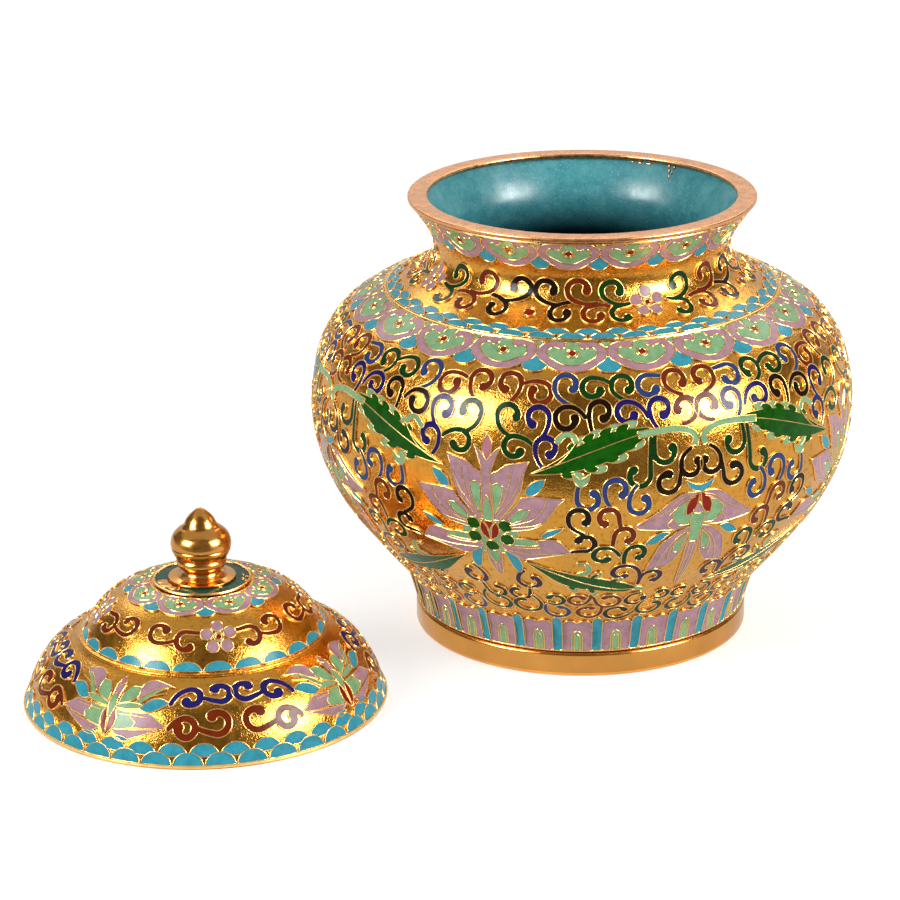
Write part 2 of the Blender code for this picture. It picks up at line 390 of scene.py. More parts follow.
def gilding(name, colour, roughness, grain=0.02, streak=0.012, crinkle=0.0, wear=0.86):
    """Fire gilding over copper: a pitted grain, fine polishing streaks and thin coppery patches."""
    finish = Finish(name, colour, roughness, metallic=1.0)
    body = finish.ramp(
        finish.noise(90.0, 3.0), (0.30, shade(colour, wear)), (0.62, colour), (0.80, shade(colour, 2 - wear)),
    )
    surface = None
    if crinkle:
        flecks = finish.ramp(finish.noise(800.0, 4.0, 0.7), (0.30, (0.60, 0.52, 0.44, 1.0)), (0.47, WHITE))
        body = finish.mix(1.0, body, flecks, "MULTIPLY")
        surface = finish.bump(finish.noise(620.0), crinkle)
    surface = finish.bump(finish.noise(2400.0), grain, surface)
    if streak:
        surface = finish.bump(finish.noise(1.0, 3.0, 0.6, finish.stretched(160.0, 3800.0)), streak, surface)
    polish = finish.spread(finish.noise(500.0, 3.0), roughness * 0.75, roughness * 1.35)
    return finish.done(body, polish, surface)


def enamel(name, srgb, dark=0.82, light=1.16, speckle=None):
    """Fired enamel stoned to a gloss: uneven depth of colour, fine speckle and pinholes."""
    colour = linear(*srgb)
    finish = Finish(name, colour, 0.17, specular=0.14)
    depth = finish.noise(420.0, 3.0, 0.6)
    body = finish.ramp(depth, (0.30, shade(colour, dark)), (0.50, colour), (0.72, shade(colour, light)))
    grit = finish.ramp(finish.noise(2300.0, 1.0), (0.64, BLACK), (0.76, WHITE))
    body = finish.mix(grit, body, linear(*speckle) if speckle else shade(colour, 1.35))
    polish = finish.spread(finish.noise(700.0), 0.11, 0.26)
    return finish.done(body, polish, finish.bump(finish.noise(900.0), 0.018))


def lining_enamel(name, painted_low_shade):
    """Speckled turquoise counter-enamel. In the jar it is darkened towards the bottom, as painted shade for
    the dim inside.
    """
    finish = Finish(name, linear(66, 150, 160), 0.3, specular=0.4)
    body = finish.ramp(
        finish.noise(260.0, 5.0, 0.7),
        (0.36, linear(52, 126, 137)), (0.50, linear(62, 137, 146)), (0.66, linear(80, 152, 158)),
    )
    specks = finish.ramp(finish.noise(2300.0, 3.0), (0.56, BLACK), (0.68, WHITE))
    body = finish.mix(specks, body, linear(106, 164, 166))
    if painted_low_shade:
        # Painted shade: the lining darkens towards the bottom of the jar, where less light reaches inside
        height = node(finish.tree, "ShaderNodeSeparateXYZ", {"Vector": finish.place})["Z"]
        share = finish.spread(height, 0.0, 1.0, LINING_DARK * MM, LINING_LIGHT * MM)
        depth = finish.ramp(share, (0.0, (0.22, 0.30, 0.34, 1.0)), (1.0, WHITE))
        body = finish.mix(1.0, body, depth, "MULTIPLY")
    polish = finish.spread(finish.noise(300.0), 0.24, 0.38)
    return finish.done(body, polish, finish.bump(finish.noise(260.0, 3.0), 0.05))


GILT_GROUND = gilding("gilt_ground", (0.86, 0.405, 0.06, 1.0), 0.18, grain=0.07, crinkle=0.06)
# The wires' gold is paler than the ground's, a painted highlight for the light that their rounded crowns
# catch
BRIGHTENED_GILT_WIRE = gilding("gilt_wire", (0.92, 0.58, 0.20, 1.0), 0.26, grain=0.006, streak=0.0)
TURNED_GILT = gilding("turned_gilt", (0.80, 0.36, 0.08, 1.0), 0.20, grain=0.003)
ROSE_GILT = gilding("rose_gilt", (0.86, 0.41, 0.18, 1.0), 0.28, grain=0.002, streak=0.001, wear=0.95)
JAR_LINING = lining_enamel("jar_lining", painted_low_shade=True)
LID_LINING = lining_enamel("lid_lining", painted_low_shade=False)
ENAMELS = {
    "turquoise": enamel("turquoise_enamel", (50, 133, 151)),
    "lilac": enamel("lilac_enamel", (153, 117, 126), speckle=(176, 144, 150)),
    "mint": enamel("mint_enamel", (114, 152, 110), speckle=(146, 176, 138)),
    "leaf": enamel("leaf_enamel", (14, 70, 6), 0.6, 1.3),
    "green": enamel("dark_green_enamel", (14, 50, 16), 0.7, 1.3),
    "rust": enamel("rust_enamel", (98, 34, 9), 0.75, 1.2),
    "red": enamel("red_enamel", (122, 25, 7), 0.75, 1.2),
    "navy": enamel("navy_enamel", (28, 22, 84), 0.75, 1.25),
    "slate": enamel("slate_blue_enamel", (38, 54, 100), 0.8, 1.2),
    "black": enamel("brown_black_enamel", (26, 13, 5), 0.7, 1.4),
    "plum": enamel("plum_enamel", (48, 24, 46), 0.75, 1.25),
    "rose": enamel("rose_enamel", (160, 104, 112), 0.85, 1.15),
    "teal": enamel("teal_enamel", (30, 72, 58), 0.7, 1.3),
}
PALETTE = list(ENAMELS)


# Flat drawing: a shape is (enamel, outline), in degrees round the axis and millimetres up the surface


def outline(*runs):
    """A closed outline of smooth runs. Each goes on from the end of the one before, with a corner there."""
    points, corner = [], []
    for run in runs:
        whole = corner + run
        points += smooth(whole, 4)[:-1] if len(whole) > 2 else whole[:1]
        corner = run[-1:]
    return points if math.dist(*corner, points[0]) < 1e-6 else points + corner


def mirrored(points):
    return [(-x, y) for x, y in points][::-1]


def even(*runs):
    """A symmetric outline from its right half, which runs from the middle to the middle."""
    half = outline(*runs)
    return half + mirrored(half)[1:-1]


def moved(shapes, along):
    return [(colour, [(x + along, y) for x, y in points]) for colour, points in shapes]


def degrees_per_mm(turning, up):
    return math.degrees(1.0 / turning.radius(up))


def at(turning, x, up, points):
    """Points in millimetres about a place on the surface, as degrees and millimetres up it."""
    return [(x + dx * degrees_per_mm(turning, up + dy), up + dy) for dx, dy in points]


def circle(turning, x, up, radius, count=14):
    turn = [math.tau * i / count for i in range(count)]
    return at(turning, x, up, [(radius * math.cos(a), radius * math.sin(a)) for a in turn])


def lobe(turning, x, up, length, width, lean, count=14):
    """A round-ended lobe with its foot at a place, leaning by an angle from the horizontal."""
    cos, sin = math.cos(math.radians(lean)), math.sin(math.radians(lean))
    turn = [math.tau * i / count for i in range(count)]
    ring = [(length * (0.5 - 0.5 * math.cos(a)), 0.5 * width * math.sin(a)) for a in turn]
    return at(turning, x, up, [(px * cos - py * sin, px * sin + py * cos) for px, py in ring])


def stroke(centre, widths, round_start=False, round_end=False):
    """The outline of a line of changing width along a centre line."""
    left, right = [], []
    for i, (x, y) in enumerate(centre):
        before, after = centre[max(i - 1, 0)], centre[min(i + 1, len(centre) - 1)]
        along = math.hypot(after[0] - before[0], after[1] - before[1]) or 1.0
        nx, ny = -(after[1] - before[1]) / along, (after[0] - before[0]) / along
        half = widths[i] / 2
        left.append((x + nx * half, y + ny * half))
        right.append((x - nx * half, y - ny * half))

    def cap(end, inner, radius):
        ahead = math.atan2(end[1] - inner[1], end[0] - inner[0])
        turn = [ahead + math.pi * (0.5 - i / 6) for i in range(1, 6)]
        return [(end[0] + radius * math.cos(a), end[1] + radius * math.sin(a)) for a in turn]

    ends = cap(centre[-1], centre[-2], widths[-1] / 2) if round_end else []
    starts = cap(centre[0], centre[1], widths[0] / 2) if round_start else []
    return left + ends + right[::-1] + starts


def scroll(turning, x, up, radius, head, sweep, tail, width=STROKE):
    """A comma scroll: a round head, a curl about the centre and a tail.

    head and sweep are degrees, a positive sweep turns anticlockwise, and tail is from the centre.
    """
    count = max(10, int(abs(math.radians(sweep)) * radius / POINT_SPACING))
    curl = []
    for i in range(count + 1):
        t = i / count
        a = math.radians(head + sweep * t)
        reach = radius * (HEAD_REACH + (1 - HEAD_REACH) * (1 - (1 - t) ** 2))
        curl.append((reach * math.cos(a), reach * math.sin(a)))
    (x0, y0), (x1, y1) = curl[-2:]
    step = math.hypot(x1 - x0, y1 - y0)
    gap = math.dist(curl[-1], tail)
    pull = (x1 + (x1 - x0) / step * gap * 0.5, y1 + (y1 - y0) / step * gap * 0.5)
    steps = max(3, int(gap / POINT_SPACING))
    run_out = []
    for i in range(1, steps + 1):
        t = i / steps
        run_out.append(tuple(
            (1 - t) ** 2 * p + 2 * t * (1 - t) * q + t * t * e for p, q, e in zip(curl[-1], pull, tail)
        ))
    widths = []
    for i in range(count + 1):
        t = i / count
        bulb = math.exp(-((t / 0.14) ** 2))
        widths.append(width * (0.88 + 0.12 * math.sin(math.pi * t) + (HEAD_WIDTH - 0.88) * bulb))
    widths += [width * (0.88 - 0.18 * (i / steps)) for i in range(1, steps + 1)]
    return at(turning, x, up, stroke(curl + run_out, widths, round_start=True, round_end=True))


def inside(points, polygon):
    """Which points lie inside a polygon, by the turns that it makes round each."""
    x, y = points[:, 0], points[:, 1]
    turns = np.zeros(len(points))
    for (x0, y0), (x1, y1) in zip(polygon, polygon[1:] + polygon[:1]):
        side = (x1 - x0) * (y - y0) - (x - x0) * (y1 - y0)
        turns += ((y0 <= y) & (y1 > y) & (side > 0)).astype(float)
        turns -= ((y0 > y) & (y1 <= y) & (side < 0)).astype(float)
    return turns != 0


def fill_points(shapes):
    """A grid of points inside wide shapes, so that a large cell follows the round of the surface."""
    found = []
    for _, points in shapes:
        ring = np.array(points)
        low, high = ring.min(0), ring.max(0)
        grid = np.array([
            (px, py)
            for py in np.arange(low[1], high[1], FILL_SPACING)
            for px in np.arange(low[0], high[0], FILL_SPACING)
        ])
        if len(grid) == 0:
            continue
        grid = grid[inside(grid, points)]
        if len(grid):
            gap = np.linalg.norm(grid[:, None] - ring[None], axis=2).min(1)
            found += [tuple(p) for p in grid[gap > 0.45 * FILL_SPACING]]
    return found


def cut_cells(shapes):
    """Cuts a motif's overlapping shapes apart, the later ones on top.

    Returns the points, the triangles with their enamel, and the edges that a wire follows.
    """
    points, edges = [], []
    for _, ring in shapes:
        first = len(points)
        points += [Vector(p) for p in ring]
        edges += [(first + i, first + (i + 1) % len(ring)) for i in range(len(ring))]
    points += [Vector(p) for p in fill_points(shapes)]
    places, _, faces, _, _, _ = delaunay_2d_cdt(points, edges, [], 0, 1e-5)
    centres = np.array([[sum(places[i][k] for i in face) / 3 for k in (0, 1)] for face in faces])
    owner = np.full(len(faces), -1)
    for index, (_, ring) in enumerate(shapes):
        owner[inside(centres, ring)] = index
    beside = {}
    for face, own in zip(faces, owner):
        for a, b in zip(face, face[1:] + face[:1]):
            beside.setdefault((min(a, b), max(a, b)), []).append(own)
    wires = []
    for edge, owners in beside.items():
        one, other = (owners + [-1])[:2]
        colours = {shapes[own][0] for own in (one, other) if own >= 0}
        flowing = one >= 0 and other >= 0 and len(colours) == 1 and colours <= set(FLOWING)
        if one != other and "cover" not in colours and not flowing:
            wires.append(edge)
    cells = [(tuple(face), shapes[own][0]) for face, own in zip(faces, owner) if own >= 0]
    return places, [(face, colour) for face, colour in cells if colour in ENAMELS], wires


class Drawing:
    """The flat solids and the wire runs of one band."""

    def __init__(self):
        self.points, self.faces, self.colours = [], [], []
        self.wire_points, self.wire_edges = [], []

    def add(self, shapes):
        """Adds shapes that are cut apart from one another."""
        places, cells, wires = cut_cells(list(shapes))
        used = sorted({i for face, _ in cells for i in face})
        first = len(self.points)
        number = {i: first + k for k, i in enumerate(used)}
        self.points += [(places[i][0], places[i][1], ENAMEL_RELIEF) for i in used]
        self.points += [(places[i][0], places[i][1], -ENAMEL_SINK) for i in used]
        under = len(used)
        sides = {}
        for face, colour in cells:
            a, b, c = (number[i] for i in face)
            self.faces += [(a, b, c), (c + under, b + under, a + under)]
            self.colours += [PALETTE.index(colour)] * 2
            for edge in ((a, b), (b, c), (c, a)):
                if edge[::-1] in sides:
                    del sides[edge[::-1]]
                else:
                    sides[edge] = colour
        for (a, b), colour in sides.items():
            self.faces.append((b, a, a + under, b + under))
            self.colours.append(PALETTE.index(colour))
        ends = sorted({i for edge in wires for i in edge})
        first = len(self.wire_points)
        number = {i: first + k for k, i in enumerate(ends)}
        self.wire_points += [(places[i][0], places[i][1], 0.0) for i in ends]
        self.wire_edges += [(number[a], number[b]) for a, b in wires]

    def line(self, *runs):
        """Adds wires that part no enamels."""
        for run in runs:
            points = smooth(run, 4) if len(run) > 2 else run
            first = len(self.wire_points)
            self.wire_points += [(x, y, 0.0) for x, y in points]
            self.wire_edges += [(first + i, first + i + 1) for i in range(len(points) - 1)]

    def veins(self, runs, middle=0.0):
        """Adds the veins of a flower's petals, on both sides of its middle line."""
        for run in runs:
            self.line([(middle + x, y) for x, y in run], [(middle - x, y) for x, y in run])


# Geometry Nodes that lay a flat drawing round a turned surface

WRAP_INPUTS = {"Outline": "Object", "Reference Radius": "Float", "Start": "Float", "Axis": "Vector"}
LAYING_INPUTS = WRAP_INPUTS | {
    "Repeats": "Int", "Pitch": "Float", "Wire Width": "Float", "Wire Relief": "Float",
}


def new_tree(name, kinds):
    """A tree that takes and gives geometry, the identifiers of its other inputs, and their sockets inside."""
    tree = bpy.data.node_groups.new(name, "GeometryNodeTree")

    def socket(label, kind, way="INPUT"):
        return tree.interface.new_socket(name=label, in_out=way, socket_type="NodeSocket" + kind).identifier

    socket("Geometry", "Geometry")
    names = {label: socket(label, kind) for label, kind in kinds.items()}
    socket("Geometry", "Geometry", "OUTPUT")
    return tree, names, node(tree, "NodeGroupInput")


def maths(tree, operation, a, b):
    return node(tree, "ShaderNodeMath", {0: a, 1: b}, operation=operation)[0]


def added(tree, a, b):
    return node(tree, "ShaderNodeVectorMath", {0: a, 1: b}, operation="ADD")["Vector"]


def wrapping_group():
    """Moves flat points round the axis: x is the way round, y the way up the outline, z out of it."""
    tree, _, inputs = new_tree("wrap_on_outline", WRAP_INPUTS)
    curve = node(tree, "GeometryNodeObjectInfo", {"Object": inputs["Outline"]})["Geometry"]
    where = node(tree, "GeometryNodeInputPosition")["Position"]
    flat = node(tree, "ShaderNodeSeparateXYZ", {"Vector": where})
    sample = node(
        tree, "GeometryNodeSampleCurve", {"Curves": curve, "Length": flat["Y"]},
        mode="LENGTH", use_all_curves=True,
    )
    tangent = node(tree, "ShaderNodeSeparateXYZ", {"Vector": sample["Tangent"]})
    inward = maths(tree, "MULTIPLY", tangent["X"], -1.0)
    normal = node(tree, "ShaderNodeCombineXYZ", {"X": tangent["Z"], "Z": inward})["Vector"]
    out = node(tree, "ShaderNodeVectorMath", {0: normal, "Scale": flat["Z"]}, operation="SCALE")["Vector"]
    turn = maths(tree, "DIVIDE", flat["X"], inputs["Reference Radius"])
    values = {
        "Vector": added(tree, sample["Position"], out), "Angle": maths(tree, "ADD", turn, inputs["Start"]),
    }
    placed = node(tree, "ShaderNodeVectorRotate", values, rotation_type="Z_AXIS")["Vector"]
    values = {"Geometry": inputs["Geometry"], "Position": added(tree, placed, inputs["Axis"])}
    node(tree, "NodeGroupOutput", {"Geometry": node(tree, "GeometryNodeSetPosition", values)["Geometry"]})
    return tree


def drawn_wire(tree, edges, width, relief):
    """A low ribbon with sloping sides along the edges of a flat drawing."""
    runs = node(tree, "GeometryNodeMeshToCurve", {"Mesh": edges})["Curve"]
    upright = node(tree, "GeometryNodeSetCurveNormal", {"Curve": runs}, mode="Z_UP")["Curve"]
    crown = maths(tree, "MULTIPLY", width, WIRE_CROWN)
    values = {"Height": relief, "Bottom Width": crown, "Top Width": width, "Offset": 0.0}
    section = node(tree, "GeometryNodeCurvePrimitiveQuadrilateral", values, mode="TRAPEZOID")["Curve"]
    values = {"Curve": upright, "Profile Curve": section, "Fill Caps": True}
    tube = node(tree, "GeometryNodeCurveToMesh", values)["Mesh"]
    lift = node(tree, "ShaderNodeCombineXYZ", {"Z": maths(tree, "MULTIPLY", relief, WIRE_LIFT)})["Vector"]
    return node(tree, "GeometryNodeSetPosition", {"Geometry": tube, "Offset": lift})["Geometry"]


def laying_tree(name, wire):
    """Repeats a flat band round the axis and lays it on the outline, as enamel cells or as wire."""
    tree, names, inputs = new_tree(name, LAYING_INPUTS)
    unit = inputs["Geometry"]
    if wire:
        unit = drawn_wire(tree, unit, inputs["Wire Width"], inputs["Wire Relief"])
    index = node(tree, "GeometryNodeInputIndex")["Index"]
    along = maths(tree, "MULTIPLY", index, inputs["Pitch"])
    spot = node(tree, "ShaderNodeCombineXYZ", {"X": along})["Vector"]
    points = node(tree, "GeometryNodePoints", {"Count": inputs["Repeats"], "Position": spot})["Points"]
    copies = node(tree, "GeometryNodeInstanceOnPoints", {"Points": points, "Instance": unit})["Instances"]
    values = {label: inputs[label] for label in WRAP_INPUTS}
    values["Geometry"] = node(tree, "GeometryNodeRealizeInstances", {"Geometry": copies})["Geometry"]
    done = node(tree, "GeometryNodeGroup", values, node_tree=WRAP)["Geometry"]
    if wire:
        done = node(tree, "GeometryNodeSetMaterial", {"Geometry": done, "Material": BRIGHTENED_GILT_WIRE})["Geometry"]
    else:
        mark = node(tree, "GeometryNodeInputNamedAttribute", {"Name": "enamel"}, data_type="INT")["Attribute"]
        for number, material in enumerate(ENAMELS.values()):
            compared = {2: mark, 3: number}
            chosen = node(tree, "FunctionNodeCompare", compared, data_type="INT", operation="EQUAL")["Result"]
            values = {"Geometry": done, "Selection": chosen, "Material": material}
            done = node(tree, "GeometryNodeSetMaterial", values)["Geometry"]
    node(tree, "NodeGroupOutput", {"Geometry": done})
    return tree, names


WRAP = wrapping_group()
CELLS = laying_tree("lay_cells_round", wire=False)
WIRES = laying_tree("lay_wire_round", wire=True)


def piece_of(name, mesh):
    piece = new_object(name, mesh)
    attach(piece, BODY)
    return piece


def flat_mesh(name, reference, points, edges, faces, colours=None):
    """A flat drawing in metres. Across, it is to scale at the reference radius."""
    mesh = bpy.data.meshes.new(name)
    mesh.from_pydata([(math.radians(x) * reference, y * MM, z * MM) for x, y, z in points], edges, faces)
    if colours:
        mesh.attributes.new("enamel", "INT", "FACE").data.foreach_set("value", colours)
    return new_object(name, mesh)


def laid_round(drawn, tree_and_names, values):
    """The drawing as a plain mesh on its turning."""
    tree, names = tree_and_names
    laid = drawn.modifiers.new("Lay round", "NODES")
    laid.node_group = tree
    for label, value in values.items():
        laid[names[label]] = value
    title = drawn.name
    mesh = bpy.data.meshes.new_from_object(drawn.evaluated_get(bpy.context.evaluated_depsgraph_get()))
    bpy.data.objects.remove(drawn)
    mesh.name = title
    mesh.shade_smooth()
    return mesh


def lay(name, turning, middle, drawing, repeats, start, shares=1):
    """Makes a band's enamels and its wires from one drawing, the wires in so many pieces."""
    reference = turning.radius(middle) * MM
    values = {
        "Outline": turning.curve, "Reference Radius": reference, "Start": math.radians(start - 90.0),
        "Axis": (*turning.axis, 0.0), "Repeats": repeats, "Pitch": math.radians(360.0 / repeats) * reference,
        "Wire Width": WIRE_WIDTH * MM, "Wire Relief": WIRE_RELIEF * MM,
    }
    title = f"{name}_enamels"
    drawn = flat_mesh(title, reference, drawing.points, [], drawing.faces, drawing.colours)
    mesh = laid_round(drawn, CELLS, values)
    mesh.set_sharp_from_angle(angle=math.radians(SHARP_ENAMEL))
    piece_of(title, mesh)
    for share in range(shares):
        title = f"{name}_wires" + (f"_{share + 1}" if shares > 1 else "")
        drawn = flat_mesh(title, reference, drawing.wire_points, drawing.wire_edges, [])
        first = math.radians(start + share * 360.0 / shares - 90.0)
        mesh = laid_round(drawn, WIRES, values | {"Start": first, "Repeats": repeats // shares})
        piece_of(title, mesh)


# Turned pieces


def turned(name, axis, profile, materials, paint=None, sides=SIDES, closed=True):
    """A solid turned about an axis from (radius, height) points that run up its outside."""
    points, rings = [], []
    for r, z in profile:
        if r < 1e-6:
            rings.append([len(points)] * sides)
            points.append((axis[0], axis[1], z * MM))
            continue
        rings.append([len(points) + k for k in range(sides)])
        for k in range(sides):
            a = math.tau * k / sides
            points.append((axis[0] + r * MM * math.cos(a), axis[1] + r * MM * math.sin(a), z * MM))
    faces, chosen = [], []
    pairs = list(zip(range(len(rings)), range(1, len(rings))))
    if closed:
        pairs.append((len(rings) - 1, 0))
    for low, high in pairs:
        for k in range(sides):
            n = (k + 1) % sides
            ring = []
            for corner in (rings[low][k], rings[low][n], rings[high][n], rings[high][k]):
                if corner not in ring:
                    ring.append(corner)
            if len(ring) > 2:
                faces.append(ring)
                chosen.append(paint(low) if paint else 0)
    mesh = bpy.data.meshes.new(name)
    mesh.from_pydata(points, [], faces)
    for material in materials:
        mesh.materials.append(material)
    mesh.polygons.foreach_set("material_index", chosen)
    mesh.shade_smooth()
    mesh.set_sharp_from_angle(angle=math.radians(SHARP_TURNED))
    return piece_of(name, mesh)


def jar_shell():
    floor_end = BASE_HEIGHT + BASE_THICKNESS + FLOOR_FILLET
    inner = cut_at(inset(JAR_SURFACE, JAR_WALL), floor_end, MOUTH[1])
    floor = arc((inner[0][0] - FLOOR_FILLET, floor_end), FLOOR_FILLET, -90, 0)
    skirt = FOOT_RADIUS - FOOT_RING_WALL
    under = [(0.0, BASE_HEIGHT), (skirt, BASE_HEIGHT), (skirt, JAR_OUTLINE[0][1])]
    inside_wall = inner[::-1] + floor[::-1][1:] + [(0.0, floor_end - FLOOR_FILLET)]
    profile = under + JAR_OUTLINE + inside_wall
    outside = len(under) + len(JAR_OUTLINE)
    shell = turned(
        "jar_shell", JAR_AXIS, profile, [GILT_GROUND, JAR_LINING, ENAMELS["teal"]],
        paint=lambda low: 2 if low == 0 else int(low >= outside - 1), closed=False,
    )
    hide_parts("jar_body")


def lid_shell():
    ledge = arc(LID_STEP, LID_BEAD, -45, 90, 5)
    outer = SKIRT_OUTLINE + ledge + DOME_OUTLINE[1:] + [(STUD_HOLE, LID_TOP[1])]
    bore, seat = LID_SEAT
    under_skirt = [p for p in inset(SKIRT_SURFACE, LID_WALL) if p[1] > LID_SEAT_DEPTH and p[0] < seat]
    under_dome = [p for p in inset(DOME_SURFACE, LID_WALL) if p[0] < under_skirt[-1][0]]
    inner = (
        [(bore, 0.0), (bore, LID_SEAT_DEPTH), (seat, LID_SEAT_DEPTH)]
        + under_skirt + under_dome + [(STUD_HOLE, LID_TOP[1] - LID_WALL)]
    )
    last = len(outer) + len(inner) - 3
    shell = turned(
        "lid_shell", LID_AXIS, outer + inner[::-1], [GILT_GROUND, LID_LINING],
        paint=lambda low: int(len(outer) <= low < last),
    )
    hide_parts("lid")


def rounded_ring(inner, outer, low, high, fillet):
    corners = (
        ((inner + fillet, low + fillet), 180), ((outer - fillet, low + fillet), 270),
        ((outer - fillet, high - fillet), 0), ((inner + fillet, high - fillet), 90),
    )
    profile = []
    for centre, first in corners:
        profile += arc(centre, fillet, first, first + 90, 5)
    return profile


def rings():
    mouth = turned(
        "mouth_band", JAR_AXIS,
        rounded_ring(LIP_INNER_RADIUS, LIP_RADIUS, JAR_TOP - LIP_THICKNESS, JAR_TOP, 0.4),
        [ROSE_GILT],
    )
    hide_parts("mouth_ring")
    foot = turned(
        "foot_band", JAR_AXIS,
        rounded_ring(FOOT_RADIUS - FOOT_RING_WALL, FOOT_RADIUS, 0.0, FOOT_RING_HEIGHT, 0.9),
        [TURNED_GILT],
    )
    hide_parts("foot_ring")


def refined(points, spacing):
    """The points with more between them, no further apart than the spacing."""
    result = []
    for a, b in zip(points, points[1:]):
        count = max(1, int(math.dist(a, b) / spacing))
        result += [tuple(p + (q - p) * i / count for p, q in zip(a, b)) for i in range(count)]
    return result + [points[-1]]


def finial():
    low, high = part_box("lid_finial")
    disc_bottom = LID_TOP[1] + SEAM
    disc_top = disc_bottom + FINIAL_DISC_THICKNESS
    rise = high.z / MM - disc_top

    def run(shares):
        ends = [(FINIAL_BALL_RADIUS * of_ball, disc_top + rise * of_height) for of_height, of_ball in shares]
        return smooth(ends[::-1], 6)

    groove = disc_top + rise * FINIAL_GROOVE_SHARE
    ball = [
        (r - FINIAL_GROOVE_DEPTH * math.exp(-(((z - groove) / FINIAL_GROOVE_WIDTH) ** 2)), z)
        for r, z in refined(run(FINIAL_BALL), 0.14)
    ]
    rounding = FINIAL_DISC_ROUNDING
    edge = FINIAL_DISC_RADIUS - rounding
    profile = (
        [(0.0, low.z / MM), (STUD_RADIUS, low.z / MM), (STUD_RADIUS, disc_bottom)]
        + arc((edge, disc_bottom + rounding), rounding, -90, 0, 3)
        + arc((edge, disc_top - rounding), rounding, 0, 90, 3)
        + run(FINIAL_COVE) + run(FINIAL_COLLAR) + ball + run(FINIAL_TIP)
    )
    knob = turned("turned_finial", LID_AXIS, profile, [TURNED_GILT], sides=96, closed=False)
    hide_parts("lid_finial")


def drops(name, axis, places, material):
    """Flattened drops of metal, each at an angle, a radius and a height, with its three half sizes."""
    made = bmesh.new()
    for angle, radius, height, *half in places:
        drop = bmesh.ops.create_icosphere(made, subdivisions=2, radius=1.0)["verts"]
        place = (
            Matrix.Translation((*axis, 0.0)) @ Matrix.Rotation(math.radians(angle), 4, "Z")
            @ Matrix.Translation(Vector((radius, 0.0, height)) * MM)
            @ Matrix.Diagonal((*(h * MM for h in half), 1.0))
        )
        bmesh.ops.transform(made, matrix=place, verts=drop)
    mesh = bpy.data.meshes.new(name)
    made.to_mesh(mesh)
    made.free()
    mesh.materials.append(material)
    mesh.shade_smooth()
    piece_of(name, mesh)


def repairs():
    """Solder left round the finial's collar, and gilding that ran from the mouth ring down the lining."""
    disc = LID_TOP[1] + TOP_WIRE_LIFT
    solder = [(angle, radius, disc + up, *half) for angle, radius, up, *half in SOLDER]
    drops("collar_solder", LID_AXIS, solder, TURNED_GILT)
    wall = inset(JAR_SURFACE, JAR_WALL)
    places = []
    for angle, down, *half in GILDING_RUN:
        height = MOUTH[1] - down
        radius = float(np.interp(height, [z for _, z in wall], [r for r, _ in wall]))
        places.append((angle, radius, height, *half))
    drops("mouth_gilding_run", JAR_AXIS, places, ROSE_GILT)


# Motifs, drawn about their own middle

# Petals: an enamel and its smooth runs, each of which goes on from the end of the one before
FACING_PETALS = (
    ("mint", [(0, 54.2), (3.0, 53.6), (5.4, 51.4), (6.2, 48), (5.4, 44.2), (3.2, 41.6), (0, 41.2)]),
    ("lilac", [(0, 43), (1.6, 42), (1.6, 39), (1.2, 35.8), (0.7, 33.4), (0, 32.4)]),
    ("mint", [(0, 42.6), (1.2, 41.8), (1.1, 39.4), (0, 37.2)]),
    ("turquoise", [(2.4, 42.2), (4.4, 41.8), (5.7, 39.2), (6.0, 36.6), (5.4, 34.3)], [(4.2, 35.2),
        (3.4, 38), (2.4, 42.2)]),
    ("lilac", [(3.8, 46.8), (7.5, 46.8), (10.2, 46.7), (12.4, 47.2), (14.4, 46.8), (15.8, 45),
        (17.2, 42.6)], [(14.8, 41.9), (11, 40.8), (6.8, 39.5)], [(4.6, 41), (2.2, 43.6), (3.8, 46.8)]),
    ("mint", [(4.4, 46.6), (7.6, 47.0), (9.8, 46.4)], [(10.3, 45.2), (8.1, 44.6), (4.4, 44.5)]),
    ("turquoise", [(10.6, 47.9), (12.6, 50), (15.8, 51.1)], [(14.5, 49.4), (12.7, 47.9), (11.3, 47.6),
        (10.6, 47.9)]),
    ("lilac", [(2.6, 53), (5.6, 56), (7, 59)], [(10, 59.5), (16.1, 59.2)], [(14.3, 57), (13.1, 54.5),
        (11.8, 52.3), (9.4, 50.4), (6.8, 49.6), (3.8, 49)]),
    ("mint", [(4.5, 53), (6, 54.9), (7.2, 55.9), (8.9, 55.7)], [(8.1, 54), (6.8, 52.5), (4.6, 51.2)]),
    ("turquoise", [(8.0, 60.1), (8.5, 62), (10, 63.6), (12.1, 64.3)], [(11.6, 62.3), (10.5, 60.5),
        (9.2, 59.7), (8.0, 60.1)]),
    ("lilac", [(0.8, 52), (0.9, 60), (1.0, 64.7)], [(2.4, 65.5), (4.2, 67.2), (6.4, 67.8), (8.8, 68.5)],
        [(8.0, 66), (7.6, 63.5), (7.2, 61), (6.2, 58.4), (4.3, 55), (2.4, 52)]),
    ("mint", [(1.3, 56), (1.2, 61.6)], [(2.4, 62.4), (3.5, 61.6)], [(3.2, 59), (2.3, 55.4), (1.3, 53.6)]),
    ("lilac", [(0, 52), (1.2, 52.5), (1.0, 58), (0.85, 63), (1.2, 66), (2.0, 69), (2.9, 71.5)],
        [(1.8, 70.6), (0.9, 69.2), (0, 67.9)]),
    ("rose", [(0, 74.5), (0.9, 72.6), (1.0, 70.4), (0.5, 68.6), (0, 67.9)]),
    ("mint", [(0, 59), (0.65, 57), (1.0, 52.5), (0, 51)]),
)
FACING_HEART = (
    ("red", [(0.05, 45.7), (1.4, 46.8), (2.1, 49), (1.6, 51.4)], [(0.7, 50.0), (0.3, 48.2), (0.05, 45.7)]),
    ("red", [(0, 51.6), (1.3, 51.6)], [(0.6, 50.4), (0.0, 48.6)]),
)
